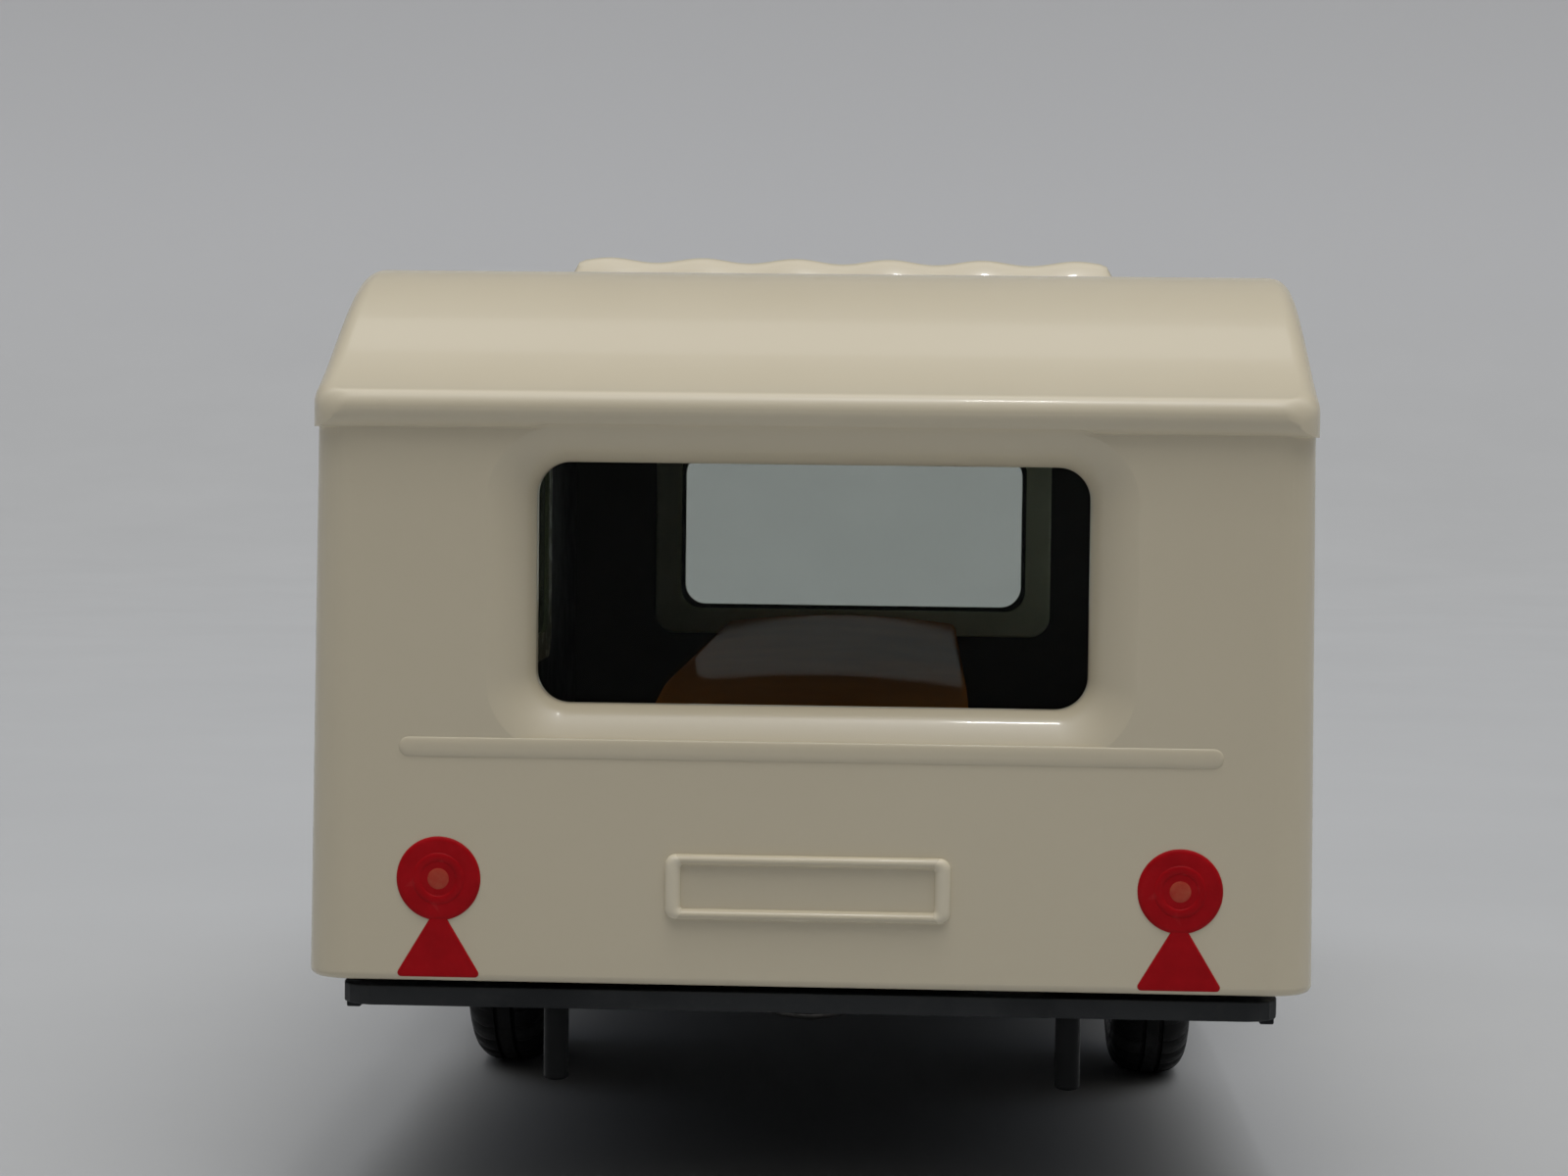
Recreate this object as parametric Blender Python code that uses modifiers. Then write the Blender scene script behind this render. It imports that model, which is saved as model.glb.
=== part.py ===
# Toy caravan: a small cast body with a lipped and ribbed roof on a dark base plate,
# a moulded interior behind clear panes, a side door that opens and two wheels that run
# free on one axle.
# Metres, +Z up. +Y points forward along the drawbar and +X to the right seen from behind.
# The origin is on the ground, under the middle of the whole length.

import math

import bmesh
import bpy
from mathutils import Matrix, Vector

MM = 0.001

# Fits
SEAT_GAP = 0.2 * MM
RUNNING_GAP = 0.2 * MM
DOOR_GAP = 0.25 * MM
CUT_PAST = 1.5 * MM
WELD = 0.001 * MM

# Body casting
BODY_WIDTH = 30.4 * MM
BODY_LENGTH = 60.0 * MM
WALL = 1.5 * MM
WALL_HEIGHT = 16.9 * MM
WALL_CORNER_RADIUS = 1.2 * MM
HEM_RADIUS = 0.25 * MM

# Roof, from the lip over the swept end to the crown
LIP_OVERHANG = 0.5 * MM
LIP_RADIUS = 0.6 * MM
LIP_SLOPE = math.radians(19.0)
LIP_FIRST_ANGLE = math.radians(25.0)
ROOF_SWEEP = 10.0 * MM
ROOF_SWEEP_RISE = 4.65 * MM
ROOF_CROWN = 0.5 * MM
ROOF_THICKNESS = 1.3 * MM
ROOF_EDGE_RADIUS = 0.65 * MM
CABIN_EDGE_RADIUS = 0.8 * MM
DRIP_EDGE = 0.06 * MM

# Ribbed panel on the front half of the roof
RIB_COUNT = 6
RIB_PITCH = 3.75 * MM
RIB_EDGE_TRIM = 0.4 * MM
RIB_PANEL_FROM_REAR = 30.0 * MM
RIB_PANEL_LENGTH = 19.0 * MM
RIB_PANEL_RAMP = 1.3 * MM
RIB_PANEL_SINK = 0.1 * MM
RIB_VALLEY_RISE = 1.05 * MM
RIB_HEIGHT = 0.2 * MM

# Windows
SILL_HEIGHT = 8.5 * MM
REAR_WINDOW_WIDTH = 16.9 * MM
FRONT_WINDOW_WIDTH = 16.5 * MM
END_WINDOW_HEIGHT = 7.4 * MM
SIDE_WINDOW_HEIGHT = 7.0 * MM
REAR_SIDE_WINDOW_WIDTH = 17.0 * MM
LEFT_FRONT_WINDOW_WIDTH = 11.0 * MM
RIGHT_FRONT_WINDOW_WIDTH = 5.5 * MM
SIDE_WINDOW_FROM_END = 7.0 * MM
LEFT_FRONT_WINDOW_FROM_END = 21.0 * MM
RIGHT_FRONT_WINDOW_FROM_END = 4.2 * MM
WINDOW_RADIUS = 1.0 * MM
FRAME_WIDTH = 0.8 * MM
FRAME_PROUD = 0.3 * MM
GLASS = 0.8 * MM
GLASS_MARGIN = 1.4 * MM
GLASS_TOP_MARGIN = 0.9 * MM

# Raised details on the walls
WAIST_DROP = 1.1 * MM
BEAD_WIDTH = 0.4 * MM
REAR_BEAD_LENGTH = 25.0 * MM
REAR_BEAD_PROUD = 0.18 * MM
SIDE_BEAD_PROUD = 0.25 * MM
SIDE_BEAD_END = 2.0 * MM
PLATE_FRAME_WIDTH = 8.7 * MM
PLATE_FRAME_HEIGHT = 2.0 * MM
PLATE_FRAME_BAR = 0.35 * MM
PLATE_FRAME_PROUD = 0.22 * MM
PLATE_FRAME_RISE = 2.05 * MM
PLATE_FRAME_SKIN = 0.05 * MM

# Side door, hinged at its front edge
DOOR_OPENING_WIDTH = 9.0 * MM
DOOR_OPENING_HEIGHT = 13.8 * MM
DOOR_SILL = 1.8 * MM
DOOR_FROM_FRONT = 12.0 * MM
DOOR_PIN_RADIUS = 0.3 * MM
DOOR_PIN_LENGTH = 0.8 * MM
DOOR_WINDOW_WIDTH = 4.6 * MM
DOOR_WINDOW_HEIGHT = 5.6 * MM
DOOR_WINDOW_DROP = 1.6 * MM
DOOR_GLASS_MARGIN = 0.8 * MM
HANDLE_LENGTH = 1.3 * MM
HANDLE_HEIGHT = 0.5 * MM
HANDLE_FROM_EDGE = 0.7 * MM
HANDLE_DROP = 7.6 * MM

# Base plate
GROUND_CLEARANCE = 7.0 * MM
PLATE_SIDE_INSET = 0.85 * MM
PLATE_END_INSET = 0.2 * MM
PLATE_THICKNESS = 0.6 * MM
PLATE_CORNER_RADIUS = 1.0 * MM
EDGE_LIP_WIDTH = 0.5 * MM
EDGE_LIP_DEPTH = 0.25 * MM
RAIL_SPACING = 11.0 * MM
RAIL_WIDTH = 1.0 * MM
RAIL_DEPTH = 1.0 * MM
RAIL_FROM_REAR = 8.0 * MM

# Posts of the casting and the rivets in them
POST_RADIUS = 1.5 * MM
POST_FROM_END = 3.3 * MM
POST_HEIGHT = 5.2 * MM
POST_WEB = 1.2 * MM
RIVET_RADIUS = 0.7 * MM
RIVET_GRIP = 3.0 * MM
RIVET_HEAD_RADIUS = 1.5 * MM
RIVET_HEAD = 0.5 * MM

# Wheels and axle
TYRE_DIAMETER = 10.0 * MM
TYRE_WIDTH = 2.9 * MM
TYRE_SHOULDER = 1.0 * MM
TYRE_INSET = 1.45 * MM
HUB_RADIUS = 3.1 * MM
HUB_INSET = 0.1 * MM
HUB_RIM = 0.5 * MM
HUB_DISH = 0.7 * MM
HUB_BOSS_RADIUS = 1.3 * MM
AXLE_DIAMETER = 1.2 * MM
AXLE_HEAD_RADIUS = 1.0 * MM
AXLE_HEAD = 0.35 * MM
AXLE_BEHIND_MIDDLE = 3.0 * MM
ARCH_GAP = 1.0 * MM
NOTCH_GAP = 0.6 * MM

# Axle hangers and the keeper below them
HANGER_GAP = 1.4 * MM
HANGER_WIDTH = 1.6 * MM
HANGER_LENGTH = 4.0 * MM
HANGER_BELOW_AXLE = 1.6 * MM
KEEPER_THICKNESS = 0.7 * MM
KEEPER_OVERLAP = 0.2 * MM

# Rear steadies
STEADY_SPACING = 16.4 * MM
STEADY_FROM_REAR = 5.0 * MM
STEADY_LENGTH = 3.2 * MM
STEADY_RADIUS = 0.4 * MM
STEADY_FLANGE_RADIUS = 0.8 * MM
STEADY_FLANGE = 0.5 * MM

# Drawbar and its stand
DRAWBAR_REACH = 18.0 * MM
DRAWBAR_UNDER_BODY = 8.0 * MM
DRAWBAR_THICKNESS = 1.0 * MM
DRAWBAR_WIDTH = 12.0 * MM
DRAWBAR_NECK = 3.2 * MM
EYE_RADIUS = 2.2 * MM
EYE_HOLE_RADIUS = 1.1 * MM
EYE_BOSS_RISE = 0.6 * MM
FRAME_BAR = 2.4 * MM
STAND_FROM_EYE = 6.0 * MM
STAND_RADIUS = 0.7 * MM
STAND_COLLAR_RADIUS = 1.2 * MM
STAND_COLLAR = 0.6 * MM
STAND_FOOT_RADIUS = 1.7 * MM
STAND_FOOT = 0.6 * MM
STAND_KNOB_RADIUS = 1.2 * MM
STAND_KNOB = 1.6 * MM
STAND_KNOB_CHAMFER = 0.4 * MM

# Interior moulding
TABLE_WIDTH = 10.5 * MM
TABLE_HEIGHT = 8.0 * MM
INTERIOR_FROM_REAR = 7.0 * MM
INTERIOR_FLOOR = 0.8 * MM
BENCH_HEIGHT = 3.3 * MM
BENCH_WIDTH = 2.8 * MM
WHEEL_BOX_GAP = 1.05 * MM

# Round shapes
ROUND_STEPS = 32
SMALL_STEPS = 16
CORNER_STEPS = 4
RIB_STEPS = 6
SWEEP_STEPS = 7

# Heights and lengths that follow from the sizes above
HALF_WIDTH = BODY_WIDTH / 2
HALF_PLATE = HALF_WIDTH - PLATE_SIDE_INSET
OVERALL_LENGTH = LIP_OVERHANG + BODY_LENGTH + DRAWBAR_REACH
REAR_Y = LIP_OVERHANG - OVERALL_LENGTH / 2
FRONT_Y = REAR_Y + BODY_LENGTH
MIDDLE_Y = (REAR_Y + FRONT_Y) / 2
PLATE_TOP = GROUND_CLEARANCE + PLATE_THICKNESS
BODY_BOTTOM = PLATE_TOP + SEAT_GAP
EAVE_Z = BODY_BOTTOM + WALL_HEIGHT
NOSE_Z = EAVE_Z + LIP_RADIUS
SILL_Z = BODY_BOTTOM + SILL_HEIGHT
WAIST_Z = SILL_Z - WAIST_DROP
ROOF_HALF_LENGTH = BODY_LENGTH / 2 + LIP_OVERHANG
AXLE_Z = TYRE_DIAMETER / 2
AXLE_Y = MIDDLE_Y - AXLE_BEHIND_MIDDLE
AXLE_RADIUS = AXLE_DIAMETER / 2
TYRE_INNER_X = HALF_WIDTH - TYRE_INSET - TYRE_WIDTH
WHEEL_X = HALF_WIDTH - TYRE_INSET - TYRE_WIDTH / 2
HANGER_X = TYRE_INNER_X - HANGER_GAP - HANGER_WIDTH / 2
DRAWBAR_TOP = GROUND_CLEARANCE - SEAT_GAP
DRAWBAR_BOTTOM = DRAWBAR_TOP - DRAWBAR_THICKNESS
EYE_Y = FRONT_Y + DRAWBAR_REACH - EYE_RADIUS
STAND_Y = EYE_Y - STAND_FROM_EYE
DOOR_FRONT_Y = FRONT_Y - DOOR_FROM_FRONT
DOOR_REAR_Y = DOOR_FRONT_Y - DOOR_OPENING_WIDTH
DOOR_BOTTOM = BODY_BOTTOM + DOOR_SILL + DOOR_GAP
DOOR_TOP = BODY_BOTTOM + DOOR_SILL + DOOR_OPENING_HEIGHT - DOOR_GAP
HINGE_X = HALF_WIDTH - WALL / 2
HINGE_Y = DOOR_FRONT_Y - DOOR_GAP - WALL / 2

RIGHT = Vector((1, 0, 0))
FORWARD = Vector((0, 1, 0))
UP = Vector((0, 0, 1))


def clear_scene():
    for item in list(bpy.data.objects):
        bpy.data.objects.remove(item, do_unlink=True)


def new_collection(name):
    collection = bpy.data.collections.new(name)
    bpy.context.scene.collection.children.link(collection)
    return collection


clear_scene()
parts = new_collection("toy_caravan")
cutters = new_collection("cutters")


def make_material(name, colour, roughness, metallic=0.0, transmission=0.0):
    material = bpy.data.materials.new(name)
    material.use_nodes = True
    shader = material.node_tree.nodes["Principled BSDF"]
    shader.inputs["Base Color"].default_value = (*colour, 1.0)
    shader.inputs["Roughness"].default_value = roughness
    shader.inputs["Metallic"].default_value = metallic
    shader.inputs["Transmission Weight"].default_value = transmission
    return material


CREAM_PAINT = make_material("cream_paint", (0.72, 0.66, 0.54), 0.25)
DARK_GREY = make_material("dark_grey_plastic", (0.05, 0.05, 0.058), 0.5)
BLACK_TYRE = make_material("black_tyre", (0.012, 0.012, 0.012), 0.55)
HUB_SILVER = make_material("hub_silver", (0.55, 0.55, 0.55), 0.3, metallic=1.0)
STEEL = make_material("steel", (0.5, 0.5, 0.5), 0.3, metallic=1.0)
BROWN_MOULDING = make_material("brown_moulding", (0.35, 0.13, 0.05), 0.25)
CLEAR_PANE = make_material("clear_pane", (0.85, 0.9, 0.9), 0.05, transmission=1.0)


# Shape helpers. A shape with no material is a cutter or an addition to another piece.

def add_object(name, mesh, material):
    item = bpy.data.objects.new(name, mesh)
    if material:
        mesh.materials.append(material)
        parts.objects.link(item)
    else:
        cutters.objects.link(item)
        item.hide_render = True
        item.display_type = "WIRE"
    return item


def add_bmesh(name, bm, material):
    bmesh.ops.recalc_face_normals(bm, faces=bm.faces)
    mesh = bpy.data.meshes.new(name)
    bm.to_mesh(mesh)
    bm.free()
    return add_object(name, mesh, material)


def box(name, low, high, material=None):
    low = Vector(low)
    high = Vector(high)
    bm = bmesh.new()
    bmesh.ops.create_cube(bm, size=1.0)
    placement = Matrix.Translation((low + high) / 2) @ Matrix.Diagonal((high - low).to_4d())
    bmesh.ops.transform(bm, matrix=placement, verts=bm.verts)
    return add_bmesh(name, bm, material)


def rod(name, radius, start, end, steps=SMALL_STEPS, material=None):
    start = Vector(start)
    end = Vector(end)
    axis = end - start
    bm = bmesh.new()
    bmesh.ops.create_cone(bm, cap_ends=True, segments=steps, radius1=radius, radius2=radius,
                          depth=axis.length)
    turn = UP.rotation_difference(axis).to_matrix().to_4x4()
    bmesh.ops.transform(bm, matrix=Matrix.Translation((start + end) / 2) @ turn, verts=bm.verts)
    return add_bmesh(name, bm, material)


def slab(name, outline, low, high, placement=None, material=None):
    # A flat outline, filled and extruded from low to high along its own normal.
    curve = bpy.data.curves.new(name + "_outline", "CURVE")
    curve.dimensions = "2D"
    curve.fill_mode = "BOTH"
    curve.extrude = (high - low) / 2
    spline = curve.splines.new("POLY")
    spline.points.add(len(outline) - 1)
    for point, (u, v) in zip(spline.points, outline):
        point.co = (u, v, 0.0, 1.0)
    spline.use_cyclic_u = True
    guide = bpy.data.objects.new(name + "_guide", curve)
    cutters.objects.link(guide)
    guide.matrix_world = (placement or Matrix()) @ Matrix.Translation((0, 0, (low + high) / 2))
    depsgraph = bpy.context.evaluated_depsgraph_get()
    mesh = bpy.data.meshes.new_from_object(guide.evaluated_get(depsgraph))
    mesh.transform(guide.matrix_world)
    bpy.data.objects.remove(guide, do_unlink=True)
    bm = bmesh.new()
    bm.from_mesh(mesh)
    bpy.data.meshes.remove(mesh)
    bmesh.ops.remove_doubles(bm, verts=bm.verts, dist=WELD)
    bmesh.ops.dissolve_limit(bm, angle_limit=math.radians(0.5), verts=bm.verts, edges=bm.edges)
    return add_bmesh(name, bm, material)


def turned(name, profile, centre, axis, steps, material, closed=False):
    # Profile points are (radius, height along the axis), from the top down the outer side.
    mesh = bpy.data.meshes.new(name)
    count = len(profile)
    edges = [(i, i + 1) for i in range(count - 1)]
    if closed:
        edges.append((count - 1, 0))
    mesh.from_pydata([(radius, 0.0, height) for radius, height in profile], edges, [])
    item = add_object(name, mesh, material)
    item.location = centre
    item.rotation_euler = UP.rotation_difference(Vector(axis)).to_euler()
    screw = item.modifiers.new("turn", "SCREW")
    screw.steps = steps
    screw.render_steps = steps
    screw.use_merge_vertices = True
    screw.merge_threshold = WELD
    return item


def loft(name, sections, material=None):
    bm = bmesh.new()
    rings = [[bm.verts.new(point) for point in section] for section in sections]
    for back, front in zip(rings, rings[1:]):
        for i in range(len(back)):
            j = (i + 1) % len(back)
            bm.faces.new((back[i], back[j], front[j], front[i]))
    bm.faces.new(rings[0])
    bm.faces.new(rings[-1])
    return add_bmesh(name, bm, material)


def combine(piece, others, operation):
    for other in others:
        modifier = piece.modifiers.new(other.name, "BOOLEAN")
        modifier.operation = operation
        modifier.solver = "EXACT"
        modifier.object = other


def cut(piece, *others):
    combine(piece, others, "DIFFERENCE")


def fuse(piece, *others):
    combine(piece, others, "UNION")


def set_origin(item, point):
    item.data.transform(Matrix.Translation(-Vector(point)))
    item.location = point


def shade_round(item):
    item.data.shade_smooth()
    item.data.set_sharp_from_angle(angle=math.radians(35))


# Outline helpers

def arc(centre, radius, start, end, steps):
    points = []
    for step in range(steps + 1):
        angle = start + (end - start) * step / steps
        points.append((centre[0] + radius * math.cos(angle), centre[1] + radius * math.sin(angle)))
    return points


def rounded_rectangle(centre, width, height, radius):
    points = []
    for quarter, (right, top) in enumerate(((1, 1), (-1, 1), (-1, -1), (1, -1))):
        corner = (centre[0] + right * (width / 2 - radius), centre[1] + top * (height / 2 - radius))
        start = quarter * math.pi / 2
        points += arc(corner, radius, start, start + math.pi / 2, CORNER_STEPS)
    return points


def facing(across, outward, point):
    turn = Matrix((across, UP, outward)).transposed()
    return Matrix.Translation(point) @ turn.to_4x4()


FACES = {
    "rear": facing(RIGHT, -FORWARD, (0, REAR_Y, 0)),
    "front": facing(-RIGHT, FORWARD, (0, FRONT_Y, 0)),
    "right": facing(FORWARD, RIGHT, (HALF_WIDTH, 0, 0)),
    "left": facing(-FORWARD, -RIGHT, (-HALF_WIDTH, 0, 0)),
}


def wall_slab(name, face, centre, width, height, radius, inner, outer, material=None):
    # A rounded rectangle parallel to one wall. Inner and outer are measured outwards from the wall's face.
    placement = FACES[face]
    local = placement.inverted() @ Vector(centre)
    outline = rounded_rectangle((local.x, local.y), width, height, radius)
    return slab(name, outline, inner, outer, placement, material)


# Body casting

def roof_height(inset):
    # Height of the outer roof, at a distance in from the lip's nose along the length.
    join = LIP_RADIUS * (1 - math.sin(LIP_SLOPE))
    if inset < join:
        return NOSE_Z + math.sqrt(LIP_RADIUS ** 2 - (LIP_RADIUS - inset) ** 2)
    flat = ROOF_HALF_LENGTH - ROOF_SWEEP
    sweep_top = NOSE_Z + ROOF_SWEEP_RISE
    if inset > ROOF_SWEEP:
        return sweep_top + ROOF_CROWN * (1 - ((ROOF_HALF_LENGTH - inset) / flat) ** 2)
    span = ROOF_SWEEP - join
    t = (inset - join) / span
    start = NOSE_Z + LIP_RADIUS * math.cos(LIP_SLOPE)
    start_slope = math.tan(LIP_SLOPE) * span
    end_slope = 2 * ROOF_CROWN / flat * span
    rise = 3 * t ** 2 - 2 * t ** 3
    early = t - 2 * t ** 2 + t ** 3
    late = t ** 3 - t ** 2
    return start * (1 - rise) + start_slope * early + sweep_top * rise + end_slope * late


def roof_underside(inset):
    if inset >= LIP_RADIUS:
        return EAVE_Z
    return NOSE_Z - math.sqrt(LIP_RADIUS ** 2 - (LIP_RADIUS - inset) ** 2)


def arched_section(y, half_width, low, high, radius):
    # Upright sides, rounded upper corners and a flat top, seen along the length.
    right = arc((half_width - radius, high - radius), radius, 0, math.pi / 2, CORNER_STEPS)
    left = [(-x, z) for x, z in reversed(right)]
    outline = [(half_width, low)] + right + left + [(-half_width, low)]
    return [(x, y, z) for x, z in outline]


def sweep_insets():
    nose = LIP_RADIUS * (1 - math.cos(LIP_FIRST_ANGLE))
    join = LIP_RADIUS * (1 - math.sin(LIP_SLOPE))
    insets = [nose, join, LIP_RADIUS]
    for step in range(1, SWEEP_STEPS + 1):
        insets.append(LIP_RADIUS + (ROOF_SWEEP - LIP_RADIUS) * (step / SWEEP_STEPS) ** 1.5)
    insets.append((ROOF_SWEEP + ROOF_HALF_LENGTH) / 2)
    return insets


def both_ends(insets):
    # Stations from the rear lip to the front lip, as (inset, y).
    rear = [(inset, REAR_Y - LIP_OVERHANG + inset) for inset in insets]
    front = [(inset, FRONT_Y + LIP_OVERHANG - inset) for inset in reversed(insets)]
    return rear + [(ROOF_HALF_LENGTH, MIDDLE_Y)] + front


def roof_form():
    sections = []
    for inset, y in both_ends(sweep_insets()):
        half_width = HALF_WIDTH + DRIP_EDGE
        if inset < WALL_CORNER_RADIUS:
            away = WALL_CORNER_RADIUS - inset
            half_width += math.sqrt(WALL_CORNER_RADIUS ** 2 - away ** 2) - WALL_CORNER_RADIUS
        low = roof_underside(inset)
        high = roof_height(inset)
        sections.append(arched_section(y, half_width, low, high, min(ROOF_EDGE_RADIUS, (high - low) * 0.8)))
    return loft("roof_form", sections)


def cabin_hollow():
    first = LIP_OVERHANG + WALL
    insets = [first] + [inset for inset in sweep_insets() if inset > first + WALL]
    sections = []
    for inset, y in both_ends(insets):
        top = roof_height(inset) - ROOF_THICKNESS
        sections.append(arched_section(y, HALF_WIDTH - WALL, BODY_BOTTOM - CUT_PAST, top, CABIN_EDGE_RADIUS))
    return loft("cabin_hollow", sections)


def roof_at(y):
    return roof_height(min(y - REAR_Y, FRONT_Y - y) + LIP_OVERHANG)


def rib_panel():
    # Rounded ribs along the length. Each end slopes down into the roof.
    half = RIB_COUNT * RIB_PITCH / 2 - RIB_EDGE_TRIM
    valley = roof_height(ROOF_HALF_LENGTH) + RIB_VALLEY_RISE
    steps = RIB_COUNT * RIB_STEPS
    wave = []
    for step in range(steps + 1):
        x = half * (1 - 2 * step / steps)
        wave.append((x, RIB_HEIGHT * (1 - math.cos(2 * math.pi * x / RIB_PITCH + RIB_COUNT * math.pi)) / 2))
    rear = REAR_Y + RIB_PANEL_FROM_REAR
    front = rear + RIB_PANEL_LENGTH
    sections = []
    stations = ((rear, True), (rear + RIB_PANEL_RAMP, False), (front - RIB_PANEL_RAMP, False), (front, True))
    for y, end in stations:
        floor = roof_at(y) - ROOF_THICKNESS / 2
        foot = roof_at(y) - RIB_PANEL_SINK
        top = [(x, foot if end else valley + rise) for x, rise in wave]
        sections.append([(x, y, z) for x, z in [(-half, floor), (half, floor)] + top])
    return loft("rib_panel", sections)


def walls():
    outline = rounded_rectangle((0, MIDDLE_Y), BODY_WIDTH, BODY_LENGTH, WALL_CORNER_RADIUS)
    item = slab("body_shell", outline, BODY_BOTTOM, NOSE_Z, material=CREAM_PAINT)
    bm = bmesh.new()
    bm.from_mesh(item.data)
    hem = []
    for edge in bm.edges:
        if all(abs(vert.co.z - BODY_BOTTOM) < WELD for vert in edge.verts):
            hem.append(edge)
    bmesh.ops.bevel(bm, geom=hem, offset=HEM_RADIUS, segments=3, profile=0.5, affect="EDGES")
    bm.to_mesh(item.data)
    bm.free()
    return item


def side_window_y(from_end, width, at_front):
    if at_front:
        return FRONT_Y - from_end - width / 2
    return REAR_Y + from_end + width / 2


def windows():
    # Every opening with glass in the casting: name, wall, place on the wall, width and height.
    rear_side = side_window_y(SIDE_WINDOW_FROM_END, REAR_SIDE_WINDOW_WIDTH, False)
    left_front = side_window_y(LEFT_FRONT_WINDOW_FROM_END, LEFT_FRONT_WINDOW_WIDTH, True)
    right_front = side_window_y(RIGHT_FRONT_WINDOW_FROM_END, RIGHT_FRONT_WINDOW_WIDTH, True)
    ends = [
        ("rear_window", "rear", (0, REAR_Y), REAR_WINDOW_WIDTH),
        ("front_window", "front", (0, FRONT_Y), FRONT_WINDOW_WIDTH),
    ]
    sides = [
        ("left_rear_window", "left", (-HALF_WIDTH, rear_side), REAR_SIDE_WINDOW_WIDTH),
        ("left_front_window", "left", (-HALF_WIDTH, left_front), LEFT_FRONT_WINDOW_WIDTH),
        ("right_rear_window", "right", (HALF_WIDTH, rear_side), REAR_SIDE_WINDOW_WIDTH),
        ("right_front_window", "right", (HALF_WIDTH, right_front), RIGHT_FRONT_WINDOW_WIDTH),
    ]
    openings = [(*window, END_WINDOW_HEIGHT) for window in ends]
    return openings + [(*window, SIDE_WINDOW_HEIGHT) for window in sides]


def window_frames():
    frames = []
    for name, face, (x, y), width, height in windows():
        centre = (x, y, SILL_Z + height / 2)
        around = 2 * FRAME_WIDTH
        radius = WINDOW_RADIUS + FRAME_WIDTH
        frames.append(wall_slab(name + "_frame", face, centre, width + around, height + around, radius,
                                -WALL / 2, FRAME_PROUD))
    return frames


def window_openings():
    openings = []
    for name, face, (x, y), width, height in windows():
        centre = (x, y, SILL_Z + height / 2)
        openings.append(wall_slab(name + "_opening", face, centre, width, height, WINDOW_RADIUS,
                                  -WALL - CUT_PAST, CUT_PAST))
    return openings


def waist_beads():
    rear_low = (-REAR_BEAD_LENGTH / 2, REAR_Y - REAR_BEAD_PROUD, WAIST_Z - BEAD_WIDTH / 2)
    rear_high = (REAR_BEAD_LENGTH / 2, REAR_Y + WALL / 2, WAIST_Z + BEAD_WIDTH / 2)
    beads = [box("rear_bead", rear_low, rear_high)]
    for name, side in (("left_bead", -1), ("right_bead", 1)):
        ends = sorted((side * (HALF_WIDTH - WALL / 2), side * (HALF_WIDTH + SIDE_BEAD_PROUD)))
        low = (ends[0], REAR_Y + SIDE_BEAD_END, WAIST_Z - BEAD_WIDTH / 2)
        high = (ends[1], FRONT_Y - SIDE_BEAD_END, WAIST_Z + BEAD_WIDTH / 2)
        beads.append(box(name, low, high))
    return beads


def plate_frame(body):
    centre = (0, REAR_Y, BODY_BOTTOM + PLATE_FRAME_RISE + PLATE_FRAME_HEIGHT / 2)
    bars = 2 * PLATE_FRAME_BAR
    fuse(body, wall_slab("plate_frame", "rear", centre, PLATE_FRAME_WIDTH, PLATE_FRAME_HEIGHT,
                         PLATE_FRAME_BAR, -WALL / 2, PLATE_FRAME_PROUD))
    cut(body, wall_slab("plate_recess", "rear", centre, PLATE_FRAME_WIDTH - bars, PLATE_FRAME_HEIGHT - bars,
                        PLATE_FRAME_BAR / 2, PLATE_FRAME_SKIN, CUT_PAST))


def post_places():
    return ("rear", REAR_Y + POST_FROM_END), ("front", FRONT_Y - POST_FROM_END)


def fixing_posts(body):
    top = BODY_BOTTOM + POST_HEIGHT
    walls_y = {"rear": REAR_Y + WALL / 2, "front": FRONT_Y - WALL / 2}
    for name, y in post_places():
        post = rod(name + "_post", POST_RADIUS, (0, y, BODY_BOTTOM), (0, y, top))
        near, far = sorted((y, walls_y[name]))
        web = box(name + "_post_web", (-POST_WEB / 2, near, BODY_BOTTOM + WALL / 2),
                  (POST_WEB / 2, far, top - WALL / 2))
        fuse(body, post, web)
        bore_low = BODY_BOTTOM - CUT_PAST
        bore_top = BODY_BOTTOM + RIVET_GRIP + SEAT_GAP
        cut(body, rod(name + "_post_bore", RIVET_RADIUS + SEAT_GAP, (0, y, bore_low), (0, y, bore_top)))


def door_opening(body):
    low = (HALF_WIDTH - WALL - CUT_PAST, DOOR_REAR_Y, DOOR_BOTTOM - DOOR_GAP)
    high = (HALF_WIDTH + CUT_PAST, DOOR_FRONT_Y, DOOR_TOP + DOOR_GAP)
    reach = DOOR_PIN_LENGTH + RUNNING_GAP
    pin_bore = rod("door_pin_bore", DOOR_PIN_RADIUS + RUNNING_GAP, (HINGE_X, HINGE_Y, DOOR_BOTTOM - reach),
                   (HINGE_X, HINGE_Y, DOOR_TOP + reach))
    cut(body, box("door_opening", low, high), pin_bore)


def wheel_arches(body):
    radius = TYRE_DIAMETER / 2 + ARCH_GAP
    for name, side in (("left_arch", -1), ("right_arch", 1)):
        cut(body, rod(name, radius, (side * TYRE_INNER_X, AXLE_Y, AXLE_Z),
                      (side * (HALF_WIDTH + CUT_PAST), AXLE_Y, AXLE_Z), ROUND_STEPS))


def make_body():
    body = walls()
    fuse(body, roof_form(), rib_panel())
    fuse(body, *window_frames())
    fuse(body, *waist_beads())
    cut(body, cabin_hollow())
    plate_frame(body)
    fixing_posts(body)
    cut(body, *window_openings())
    door_opening(body)
    wheel_arches(body)


# Glass

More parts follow.
